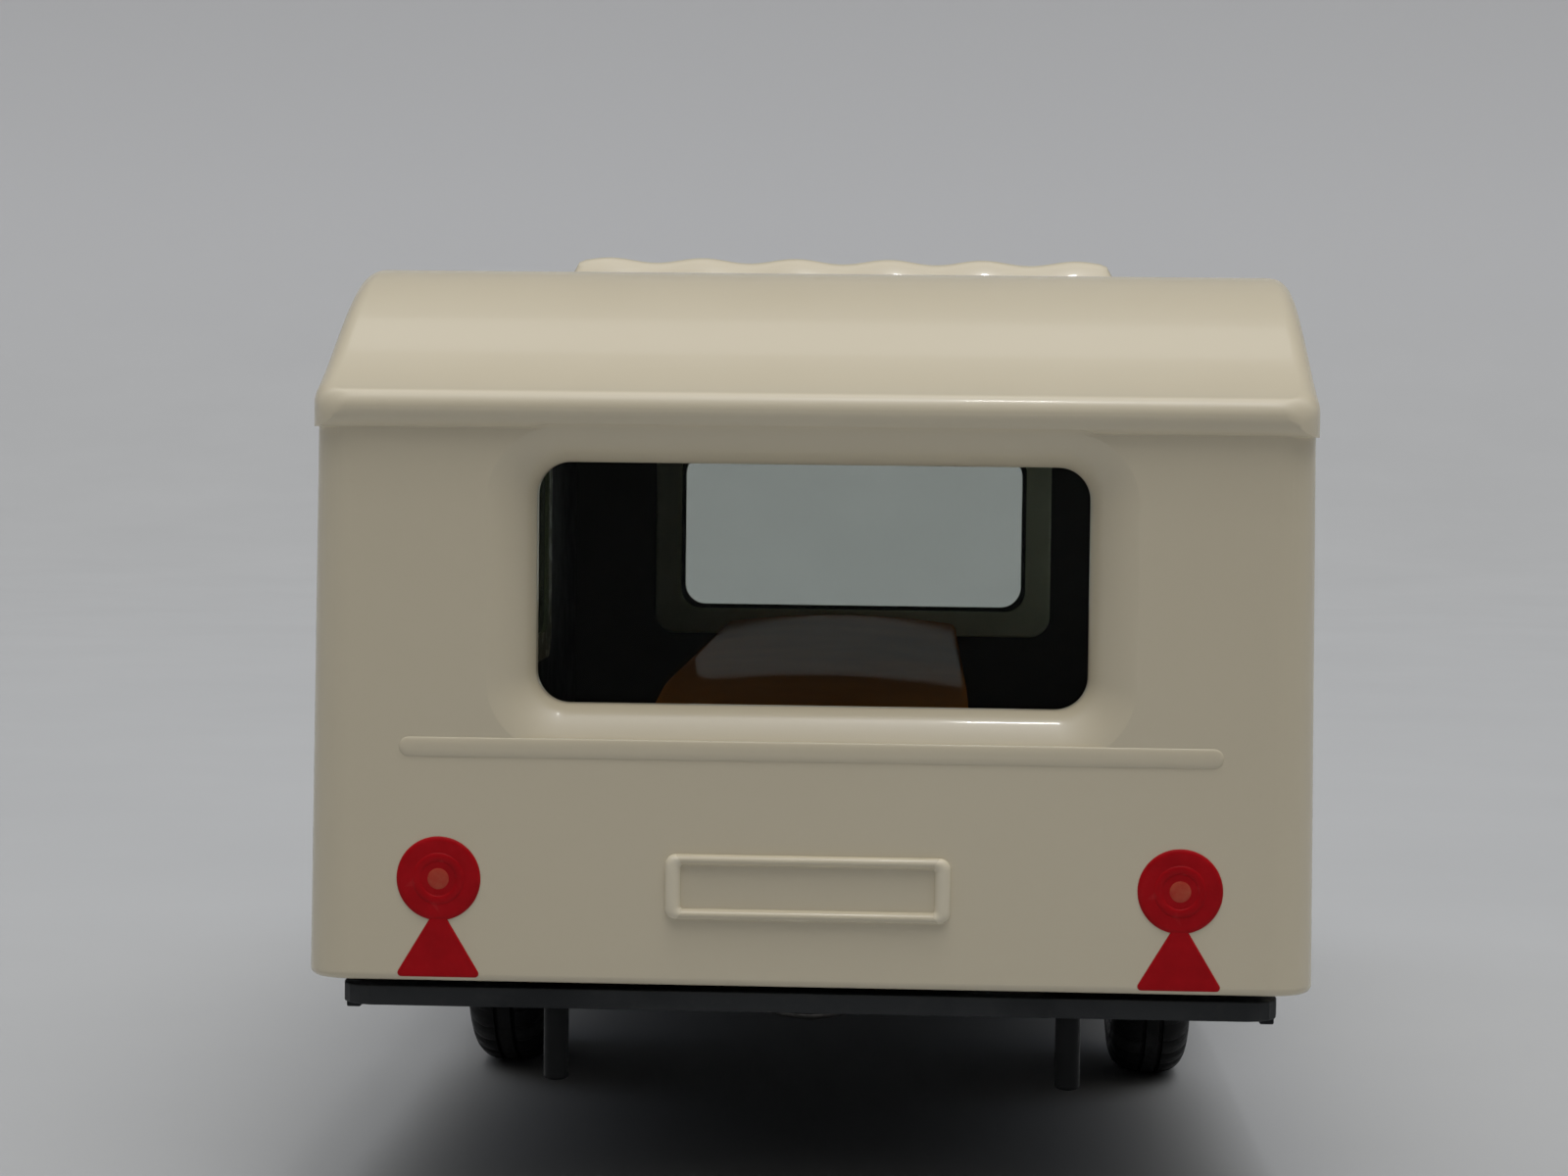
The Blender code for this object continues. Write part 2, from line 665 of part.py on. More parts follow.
def pane(name, face, low, high, material=CLEAR_PANE):
    # Low and high are the corners of the glass along its wall and in height, against the wall's inner face.
    along = (low[0] + high[0]) / 2
    point = (along, 0) if face in ("rear", "front") else (0, along)
    centre = (*point, (low[1] + high[1]) / 2)
    outer = -WALL - SEAT_GAP
    wall_slab(name, face, centre, high[0] - low[0], high[1] - low[1], WINDOW_RADIUS,
              outer - GLASS, outer, material)


def make_glazing():
    bottom = SILL_Z - GLASS_MARGIN
    end_top = SILL_Z + END_WINDOW_HEIGHT + GLASS_TOP_MARGIN
    side_top = SILL_Z + SIDE_WINDOW_HEIGHT + GLASS_TOP_MARGIN
    for name, width in (("rear", REAR_WINDOW_WIDTH), ("front", FRONT_WINDOW_WIDTH)):
        half = width / 2 + GLASS_MARGIN
        pane(name + "_glazing", name, (-half, bottom), (half, end_top))
    rear_end = REAR_Y + SIDE_WINDOW_FROM_END - GLASS_MARGIN
    rear_stop = REAR_Y + SIDE_WINDOW_FROM_END + REAR_SIDE_WINDOW_WIDTH + GLASS_MARGIN
    left_stop = FRONT_Y - LEFT_FRONT_WINDOW_FROM_END + GLASS_MARGIN
    right_stop = FRONT_Y - RIGHT_FRONT_WINDOW_FROM_END + GLASS_MARGIN
    right_start = right_stop - RIGHT_FRONT_WINDOW_WIDTH - 2 * GLASS_MARGIN
    pane("left_glazing", "left", (rear_end, bottom), (left_stop, side_top))
    pane("right_rear_glazing", "right", (rear_end, bottom), (rear_stop, side_top))
    pane("right_front_glazing", "right", (right_start, bottom), (right_stop, side_top))


# Side door

def door_window_centre():
    middle_y = (DOOR_REAR_Y + DOOR_GAP + HINGE_Y) / 2
    return (HALF_WIDTH, middle_y, DOOR_TOP - DOOR_WINDOW_DROP - DOOR_WINDOW_HEIGHT / 2)


def make_door():
    half = WALL / 2
    knuckle = arc((HINGE_X, HINGE_Y), half, 0, math.pi, 2 * CORNER_STEPS)
    free_edge = [(HINGE_X - half, DOOR_REAR_Y + DOOR_GAP), (HINGE_X + half, DOOR_REAR_Y + DOOR_GAP)]
    door = slab("door_panel", knuckle + free_edge, DOOR_BOTTOM, DOOR_TOP, material=CREAM_PAINT)
    pin_low = (HINGE_X, HINGE_Y, DOOR_BOTTOM - DOOR_PIN_LENGTH)
    pin_high = (HINGE_X, HINGE_Y, DOOR_TOP + DOOR_PIN_LENGTH)
    pin = rod("door_pin", DOOR_PIN_RADIUS, pin_low, pin_high)
    handle_z = DOOR_TOP - HANDLE_DROP
    handle_y = DOOR_REAR_Y + DOOR_GAP + HANDLE_FROM_EDGE
    handle = box("door_handle", (HINGE_X, handle_y, handle_z - HANDLE_HEIGHT / 2),
                 (HALF_WIDTH + SIDE_BEAD_PROUD, handle_y + HANDLE_LENGTH, handle_z + HANDLE_HEIGHT / 2))
    opening = wall_slab("door_window", "right", door_window_centre(), DOOR_WINDOW_WIDTH, DOOR_WINDOW_HEIGHT,
                        WINDOW_RADIUS, -WALL - CUT_PAST, CUT_PAST)
    fuse(door, pin, handle)
    cut(door, opening)
    set_origin(door, (HINGE_X, HINGE_Y, DOOR_BOTTOM))
    margin = 2 * DOOR_GLASS_MARGIN
    outer = -WALL - SEAT_GAP
    glass = wall_slab("door_glazing", "right", door_window_centre(), DOOR_WINDOW_WIDTH + margin,
                      DOOR_WINDOW_HEIGHT + margin, WINDOW_RADIUS, outer - GLASS, outer, CLEAR_PANE)
    set_origin(glass, (HINGE_X, HINGE_Y, DOOR_BOTTOM))


# Base plate, axle hangers and keeper

def rail_ends():
    return REAR_Y + RAIL_FROM_REAR, FRONT_Y - DRAWBAR_UNDER_BODY - NOTCH_GAP


def steady_places():
    y = REAR_Y + STEADY_FROM_REAR
    return (("left_rear_steady", -STEADY_SPACING / 2, y), ("right_rear_steady", STEADY_SPACING / 2, y))


def make_chassis():
    length = BODY_LENGTH - 2 * PLATE_END_INSET
    outline = rounded_rectangle((0, MIDDLE_Y), 2 * HALF_PLATE, length, PLATE_CORNER_RADIUS)
    plate = slab("chassis_plate", outline, GROUND_CLEARANCE, PLATE_TOP, material=DARK_GREY)
    lip_sink = PLATE_THICKNESS / 2
    lip_start = REAR_Y + PLATE_END_INSET + PLATE_CORNER_RADIUS
    lip_end = FRONT_Y - PLATE_END_INSET - PLATE_CORNER_RADIUS
    rail_start, rail_end = rail_ends()
    for name, side in (("left", -1), ("right", 1)):
        lip = sorted((side * (HALF_PLATE - EDGE_LIP_WIDTH), side * (HALF_PLATE - DRIP_EDGE)))
        fuse(plate, box(name + "_edge_lip", (lip[0], lip_start, GROUND_CLEARANCE - EDGE_LIP_DEPTH),
                        (lip[1], lip_end, GROUND_CLEARANCE + lip_sink)))
        rail_x = side * RAIL_SPACING / 2
        fuse(plate, box(name + "_rail", (rail_x - RAIL_WIDTH / 2, rail_start, GROUND_CLEARANCE - RAIL_DEPTH),
                        (rail_x + RAIL_WIDTH / 2, rail_end, GROUND_CLEARANCE + lip_sink)))
        hanger = Vector((side * HANGER_X, AXLE_Y, 0))
        hanger_half = Vector((HANGER_WIDTH / 2, HANGER_LENGTH / 2, 0))
        fuse(plate, box(name + "_hanger", hanger - hanger_half + UP * (AXLE_Z - HANGER_BELOW_AXLE),
                        hanger + hanger_half + UP * (GROUND_CLEARANCE + lip_sink)))
        notch = sorted((side * (TYRE_INNER_X - NOTCH_GAP), side * (HALF_PLATE + CUT_PAST)))
        reach = TYRE_DIAMETER / 2 + ARCH_GAP
        cut(plate, box(name + "_wheel_notch", (notch[0], AXLE_Y - reach, 0),
                       (notch[1], AXLE_Y + reach, EAVE_Z)))
    slot = AXLE_RADIUS + RUNNING_GAP
    cut(plate, box("axle_slot", (-HALF_WIDTH, AXLE_Y - slot, 0), (HALF_WIDTH, AXLE_Y + slot, AXLE_Z + slot)))
    for name, y in post_places():
        cut(plate, rod(name + "_rivet_hole", RIVET_RADIUS + SEAT_GAP, (0, y, 0), (0, y, EAVE_Z)))
    for name, x, y in steady_places():
        cut(plate, rod(name + "_hole", STEADY_RADIUS + SEAT_GAP, (x, y, 0), (x, y, EAVE_Z)))


def make_keeper():
    top = AXLE_Z - HANGER_BELOW_AXLE - SEAT_GAP
    half_x = HANGER_X + HANGER_WIDTH / 2
    half_y = HANGER_LENGTH / 2 + KEEPER_OVERLAP
    keeper = box("axle_keeper", (-half_x, AXLE_Y - half_y, top - KEEPER_THICKNESS),
                 (half_x, AXLE_Y + half_y, top), DARK_GREY)
    tongue_y = AXLE_RADIUS + RUNNING_GAP - SEAT_GAP
    tongue_x = HANGER_WIDTH / 2 - KEEPER_OVERLAP
    for name, side in (("left_tongue", -1), ("right_tongue", 1)):
        x = side * HANGER_X
        fuse(keeper, box(name, (x - tongue_x, AXLE_Y - tongue_y, top - KEEPER_THICKNESS / 2),
                         (x + tongue_x, AXLE_Y + tongue_y, AXLE_Z - AXLE_RADIUS - RUNNING_GAP)))


def make_rivets():
    for name, y in post_places():
        head_top = GROUND_CLEARANCE - SEAT_GAP
        if name == "front":
            head_top = DRAWBAR_BOTTOM - SEAT_GAP
        top = BODY_BOTTOM + RIVET_GRIP
        head_low = head_top - RIVET_HEAD
        profile = [(0, top), (RIVET_RADIUS, top), (RIVET_RADIUS, head_top), (RIVET_HEAD_RADIUS, head_top),
                   (RIVET_HEAD_RADIUS, head_top - RIVET_HEAD / 2), (RIVET_HEAD_RADIUS / 2, head_low),
                   (0, head_low)]
        shade_round(turned(name + "_rivet", profile, (0, y, 0), UP, SMALL_STEPS, STEEL))


def make_steadies():
    flange_top = GROUND_CLEARANCE - SEAT_GAP
    flange_low = flange_top - STEADY_FLANGE
    foot = GROUND_CLEARANCE - STEADY_LENGTH
    profile = [(0, PLATE_TOP), (STEADY_RADIUS, PLATE_TOP), (STEADY_RADIUS, flange_top),
               (STEADY_FLANGE_RADIUS, flange_top), (STEADY_FLANGE_RADIUS, flange_low),
               (STEADY_RADIUS, flange_low), (STEADY_RADIUS, foot), (0, foot)]
    for name, x, y in steady_places():
        shade_round(turned(name, profile, (x, y, 0), UP, SMALL_STEPS, DARK_GREY))


# Drawbar and stand

def make_drawbar():
    half = DRAWBAR_WIDTH / 2
    neck = DRAWBAR_NECK / 2
    rear = FRONT_Y - DRAWBAR_UNDER_BODY
    neck_y = STAND_Y - STAND_COLLAR_RADIUS
    turn = math.asin(neck / EYE_RADIUS)
    eye = arc((0, EYE_Y), EYE_RADIUS, turn - math.pi / 2, 3 * math.pi / 2 - turn, 4 * CORNER_STEPS)
    outline = [(-half, FRONT_Y), (-half, rear), (half, rear), (half, FRONT_Y), (neck, neck_y)]
    outline += eye + [(-neck, neck_y)]
    drawbar = slab("drawbar", outline, DRAWBAR_BOTTOM, DRAWBAR_TOP, material=DARK_GREY)
    boss = rod("eye_boss", EYE_RADIUS - DRIP_EDGE, (0, EYE_Y, DRAWBAR_BOTTOM + DRAWBAR_THICKNESS / 2),
               (0, EYE_Y, DRAWBAR_TOP + EYE_BOSS_RISE), ROUND_STEPS)
    fuse(drawbar, boss)
    opening_rear = FRONT_Y + FRAME_BAR / 2
    opening_front = neck_y - FRAME_BAR
    taper = (half - neck) / (neck_y - FRONT_Y)
    wide = half - taper * (opening_rear - FRONT_Y) - FRAME_BAR
    narrow = max(half - taper * (opening_front - FRONT_Y) - FRAME_BAR, EYE_HOLE_RADIUS / 4)
    triangle = [(-wide, opening_rear), (wide, opening_rear), (narrow, opening_front),
                (-narrow, opening_front)]
    low = DRAWBAR_BOTTOM - CUT_PAST
    high = DRAWBAR_TOP + CUT_PAST
    rivet_y = FRONT_Y - POST_FROM_END
    cut(drawbar, slab("drawbar_opening", triangle, low, high),
        rod("eye_hole", EYE_HOLE_RADIUS, (0, EYE_Y, low), (0, EYE_Y, high)),
        rod("stand_hole", STAND_RADIUS + SEAT_GAP, (0, STAND_Y, low), (0, STAND_Y, high)),
        rod("drawbar_rivet_hole", RIVET_RADIUS + SEAT_GAP, (0, rivet_y, low), (0, rivet_y, high)))


def make_stand():
    collar = DRAWBAR_BOTTOM - SEAT_GAP
    knob = DRAWBAR_TOP + SEAT_GAP
    knob_top = knob + STAND_KNOB
    collar_low = collar - STAND_COLLAR
    top = [(0, knob_top), (STAND_KNOB_RADIUS - STAND_KNOB_CHAMFER, knob_top),
           (STAND_KNOB_RADIUS, knob_top - STAND_KNOB_CHAMFER), (STAND_KNOB_RADIUS, knob)]
    stem = [(STAND_RADIUS, knob), (STAND_RADIUS, collar), (STAND_COLLAR_RADIUS, collar),
            (STAND_COLLAR_RADIUS, collar_low), (STAND_RADIUS, collar_low), (STAND_RADIUS, 2 * STAND_FOOT)]
    foot = [(STAND_FOOT_RADIUS, STAND_FOOT), (STAND_FOOT_RADIUS, 0), (0, 0)]
    profile = top + stem + foot
    shade_round(turned("jockey_stand", profile, (0, STAND_Y, 0), UP, SMALL_STEPS, DARK_GREY))


# Interior

def make_interior():
    half = TYRE_INNER_X - WHEEL_BOX_GAP
    base = PLATE_TOP + SEAT_GAP
    floor = base + INTERIOR_FLOOR
    bench = base + BENCH_HEIGHT
    table = base + TABLE_HEIGHT
    inner = half - BENCH_WIDTH
    side = TABLE_WIDTH / 2
    right = [(half, base), (half, bench), (inner, bench), (inner, floor), (side, floor), (side, table)]
    outline = right + [(-x, z) for x, z in reversed(right)]
    rear = REAR_Y + INTERIOR_FROM_REAR
    front = FRONT_Y - POST_FROM_END - POST_RADIUS - SEAT_GAP
    slab("interior_moulding", outline, -front, -rear, facing(RIGHT, -FORWARD, (0, 0, 0)), BROWN_MOULDING)


# Wheels

def make_wheels():
    half = TYRE_WIDTH / 2
    outer = TYRE_DIAMETER / 2
    bore = HUB_RADIUS + SEAT_GAP
    shoulder = arc((outer - TYRE_SHOULDER, half - TYRE_SHOULDER), TYRE_SHOULDER, math.pi / 2, 0, CORNER_STEPS)
    tyre = shoulder + [(r, -h) for r, h in reversed(shoulder)] + [(bore, -half), (bore, half)]
    face = half - HUB_INSET
    dish = face - HUB_DISH
    axle_bore = AXLE_RADIUS + RUNNING_GAP
    hub = [(HUB_RADIUS, face), (HUB_RADIUS, -face), (axle_bore, -face), (axle_bore, face),
           (HUB_BOSS_RADIUS, face), (HUB_BOSS_RADIUS, dish), (HUB_RADIUS - HUB_RIM, dish),
           (HUB_RADIUS - HUB_RIM, face)]
    for name, side in (("left", -1), ("right", 1)):
        centre = (side * WHEEL_X, AXLE_Y, AXLE_Z)
        shade_round(turned(name + "_tyre", tyre, centre, side * RIGHT, ROUND_STEPS, BLACK_TYRE, closed=True))
        shade_round(turned(name + "_hub", hub, centre, side * RIGHT, ROUND_STEPS, HUB_SILVER, closed=True))


def make_axle():
    head_in = WHEEL_X + TYRE_WIDTH / 2 - HUB_INSET + RUNNING_GAP
    end = head_in + AXLE_HEAD
    half = [(0, end), (AXLE_HEAD_RADIUS, end), (AXLE_HEAD_RADIUS, head_in), (AXLE_RADIUS, head_in)]
    profile = half + [(r, -h) for r, h in reversed(half)]
    shade_round(turned("axle", profile, (0, AXLE_Y, AXLE_Z), RIGHT, SMALL_STEPS, STEEL))


make_body()
make_glazing()
make_door()
make_chassis()
make_keeper()
make_rivets()
make_steadies()
make_drawbar()
make_stand()
make_interior()
make_wheels()
make_axle()
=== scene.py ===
import math

import bmesh
import bpy
from mathutils import Matrix, Vector


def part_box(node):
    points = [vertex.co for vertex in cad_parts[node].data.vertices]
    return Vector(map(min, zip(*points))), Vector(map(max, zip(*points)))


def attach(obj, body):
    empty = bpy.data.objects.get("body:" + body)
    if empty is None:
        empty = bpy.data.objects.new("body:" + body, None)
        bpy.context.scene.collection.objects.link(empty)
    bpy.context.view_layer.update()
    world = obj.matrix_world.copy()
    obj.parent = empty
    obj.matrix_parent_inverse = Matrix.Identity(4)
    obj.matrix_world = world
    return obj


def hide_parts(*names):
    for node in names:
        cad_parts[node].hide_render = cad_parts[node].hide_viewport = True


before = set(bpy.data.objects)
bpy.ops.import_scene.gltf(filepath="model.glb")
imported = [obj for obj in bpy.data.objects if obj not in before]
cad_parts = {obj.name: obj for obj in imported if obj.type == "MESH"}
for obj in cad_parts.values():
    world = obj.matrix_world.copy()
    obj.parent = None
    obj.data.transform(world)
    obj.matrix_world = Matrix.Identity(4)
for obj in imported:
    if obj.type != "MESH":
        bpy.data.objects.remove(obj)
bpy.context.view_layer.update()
scene = bpy.context.scene
mm = 0.001  # every size below is in millimetres, and pieces are scaled to metres when they are finished


def nodeBox(name):
    low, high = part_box(name)
    return low / mm, high / mm


def middle(low, high):
    return (low + high) / 2


# Camera, close behind the rear wall and a little above the window

cameraValues = {
    "place": (3.26, -131.191, 24.520),
    "turn": 2.524,  # degrees, to the left
    "tilt": 2.808,  # degrees, down
    "roll": 0.665,  # degrees
    "focalPixels": 3129.6,
    "imageWidth": 1600,
    "sensorWidth": 36.0,
    "clipStart": 5.0,
    "clipEnd": 8000.0,
}


def makeCamera():
    turn, tilt, roll = (math.radians(cameraValues[key]) for key in ("turn", "tilt", "roll"))
    ahead = Vector((-math.sin(turn) * math.cos(tilt), math.cos(turn) * math.cos(tilt), -math.sin(tilt)))
    side = ahead.cross(Vector((0, 0, 1))).normalized()
    above = side.cross(ahead)
    right = side * math.cos(roll) + above * math.sin(roll)
    up = above * math.cos(roll) - side * math.sin(roll)
    placement = Matrix((right, up, -ahead)).transposed().to_4x4()
    placement.translation = Vector(cameraValues["place"]) * mm
    data = bpy.data.cameras.new("camera")
    data.sensor_fit = "HORIZONTAL"
    data.sensor_width = cameraValues["sensorWidth"]
    data.lens = cameraValues["focalPixels"] / cameraValues["imageWidth"] * cameraValues["sensorWidth"]
    data.clip_start = cameraValues["clipStart"] * mm
    data.clip_end = cameraValues["clipEnd"] * mm
    camera = bpy.data.objects.new("camera", data)
    camera.matrix_world = placement
    scene.collection.objects.link(camera)
    scene.camera = camera


# Finishes. A finish mottles its colour, has specks of dust, takes another colour at its edges and has a fine
# skin. That edge colour is wear on most finishes, and partly or wholly a painted highlight on the cream
# paints and the panes' rims.

def addNode(nodes, kind, **sockets):
    node = nodes.new(kind)
    for name, value in sockets.items():
        node.inputs[name].default_value = value
    return node


def addRamp(nodes, links, source, stops):
    ramp = nodes.new("ShaderNodeValToRGB")
    marks = ramp.color_ramp.elements
    while len(marks) < len(stops):
        marks.new(0.5)
    for mark, (place, colour) in zip(marks, stops):
        mark.position = place
        mark.color = (*colour, 1.0)
    links.new(source, ramp.inputs["Fac"])
    return ramp.outputs["Color"]


def addMix(nodes, links, factor, first, second):
    mix = nodes.new("ShaderNodeMix")
    mix.data_type = "RGBA"
    links.new(factor, mix.inputs[0])
    for socket, value in ((mix.inputs[6], first), (mix.inputs[7], second)):
        if isinstance(value, tuple):
            socket.default_value = (*value, 1.0)
        else:
            links.new(value, socket)
    return mix.outputs[2]


def addRange(nodes, links, source, low, high, newLow, newHigh):
    node = addNode(nodes, "ShaderNodeMapRange")
    node.interpolation_type = "SMOOTHSTEP"
    links.new(source, node.inputs["Value"])
    for name, value in (("From Min", low), ("From Max", high), ("To Min", newLow), ("To Max", newHigh)):
        node.inputs[name].default_value = value
    return node.outputs["Result"]


def addMath(nodes, links, operation, first, second):
    node = nodes.new("ShaderNodeMath")
    node.operation = operation
    links.new(first, node.inputs[0])
    links.new(second, node.inputs[1])
    return node.outputs[0]


def startFinish(name):
    finish = bpy.data.materials.new(name)
    finish.use_nodes = True
    nodes, links = finish.node_tree.nodes, finish.node_tree.links
    place = nodes.new("ShaderNodeTexCoord").outputs["Object"]
    return finish, nodes, links, nodes["Principled BSDF"], place


def addGrain(nodes, links, place, size, detail, roughness=0.5):
    node = addNode(nodes, "ShaderNodeTexNoise", Scale=1 / (size * mm), Detail=detail, Roughness=roughness)
    links.new(place, node.inputs["Vector"])
    return node.outputs["Fac"]


def addBump(nodes, links, height, values, shader):
    bump = addNode(nodes, "ShaderNodeBump", Strength=values["bump"], Distance=values["bumpHeight"] * mm)
    links.new(height, bump.inputs["Height"])
    links.new(bump.outputs["Normal"], shader.inputs["Normal"])


# what a finish has unless it says otherwise; pairs are the range of the grain that a look runs over
grainValues = {
    "grainRoughness": 0.6,
    "mottleDetail": 3.0,
    "mottleRange": (0.32, 0.68),
    "skinDetail": 4.0,
    "speckScale": 2.5,  # times the size of the skin's grain
    "speckDetail": 2.0,
    "dustRange": (0.5, 0.85),
    "dullRange": (0.3, 0.7),
    "edgeRange": (0.51, 0.6),
    "patchRange": (0.35, 0.6),
    "patchLeast": 0.25,
}


def makeFinish(name, ownValues):
    values = {**grainValues, **ownValues}
    finish, nodes, links, shader, place = startFinish(name)
    if "stretch" in values:  # a turned finish has a drawn-out grain
        drawn = addNode(nodes, "ShaderNodeMapping", Scale=values["stretch"])
        links.new(place, drawn.inputs["Vector"])
        place = drawn.outputs["Vector"]
    grains = ((values["mottleSize"], values["mottleDetail"]),
              (values["skinSize"] * values["speckScale"], values["speckDetail"]),
              (values["skinSize"], values["skinDetail"]))
    mottle, speck, skin = (addGrain(nodes, links, place, *grain, values["grainRoughness"])
                           for grain in grains)
    stops = tuple(zip(values["mottleRange"], (values["shade"], values["colour"])))
    dusty = addRange(nodes, links, speck, *values["dustRange"], 0.0, values["dust"])
    colour = addMix(nodes, links, dusty, addRamp(nodes, links, mottle, stops), values["dustColour"])
    edge = nodes.new("ShaderNodeNewGeometry").outputs["Pointiness"]
    # the edge colour: wear, and on the cream paints and pane rims a painted highlight along edges that catch
    # light
    wornAndLitEdges = addMath(nodes, links, "MULTIPLY",
                   addRange(nodes, links, edge, *values["edgeRange"], 0.0, values["wearAndHighlight"]),
                   addRange(nodes, links, mottle, *values["patchRange"], values["patchLeast"], 1.0))
    links.new(addMix(nodes, links, wornAndLitEdges, colour, values["wearAndHighlightColour"]), shader.inputs["Base Color"])
    dull = addRange(nodes, links, speck, *values["dullRange"], *values["roughness"])
    links.new(dull, shader.inputs["Roughness"])
    addBump(nodes, links, skin, values, shader)
    for socket, value in values.get("fixed", {}).items():
        shader.inputs[socket].default_value = value
    return finish


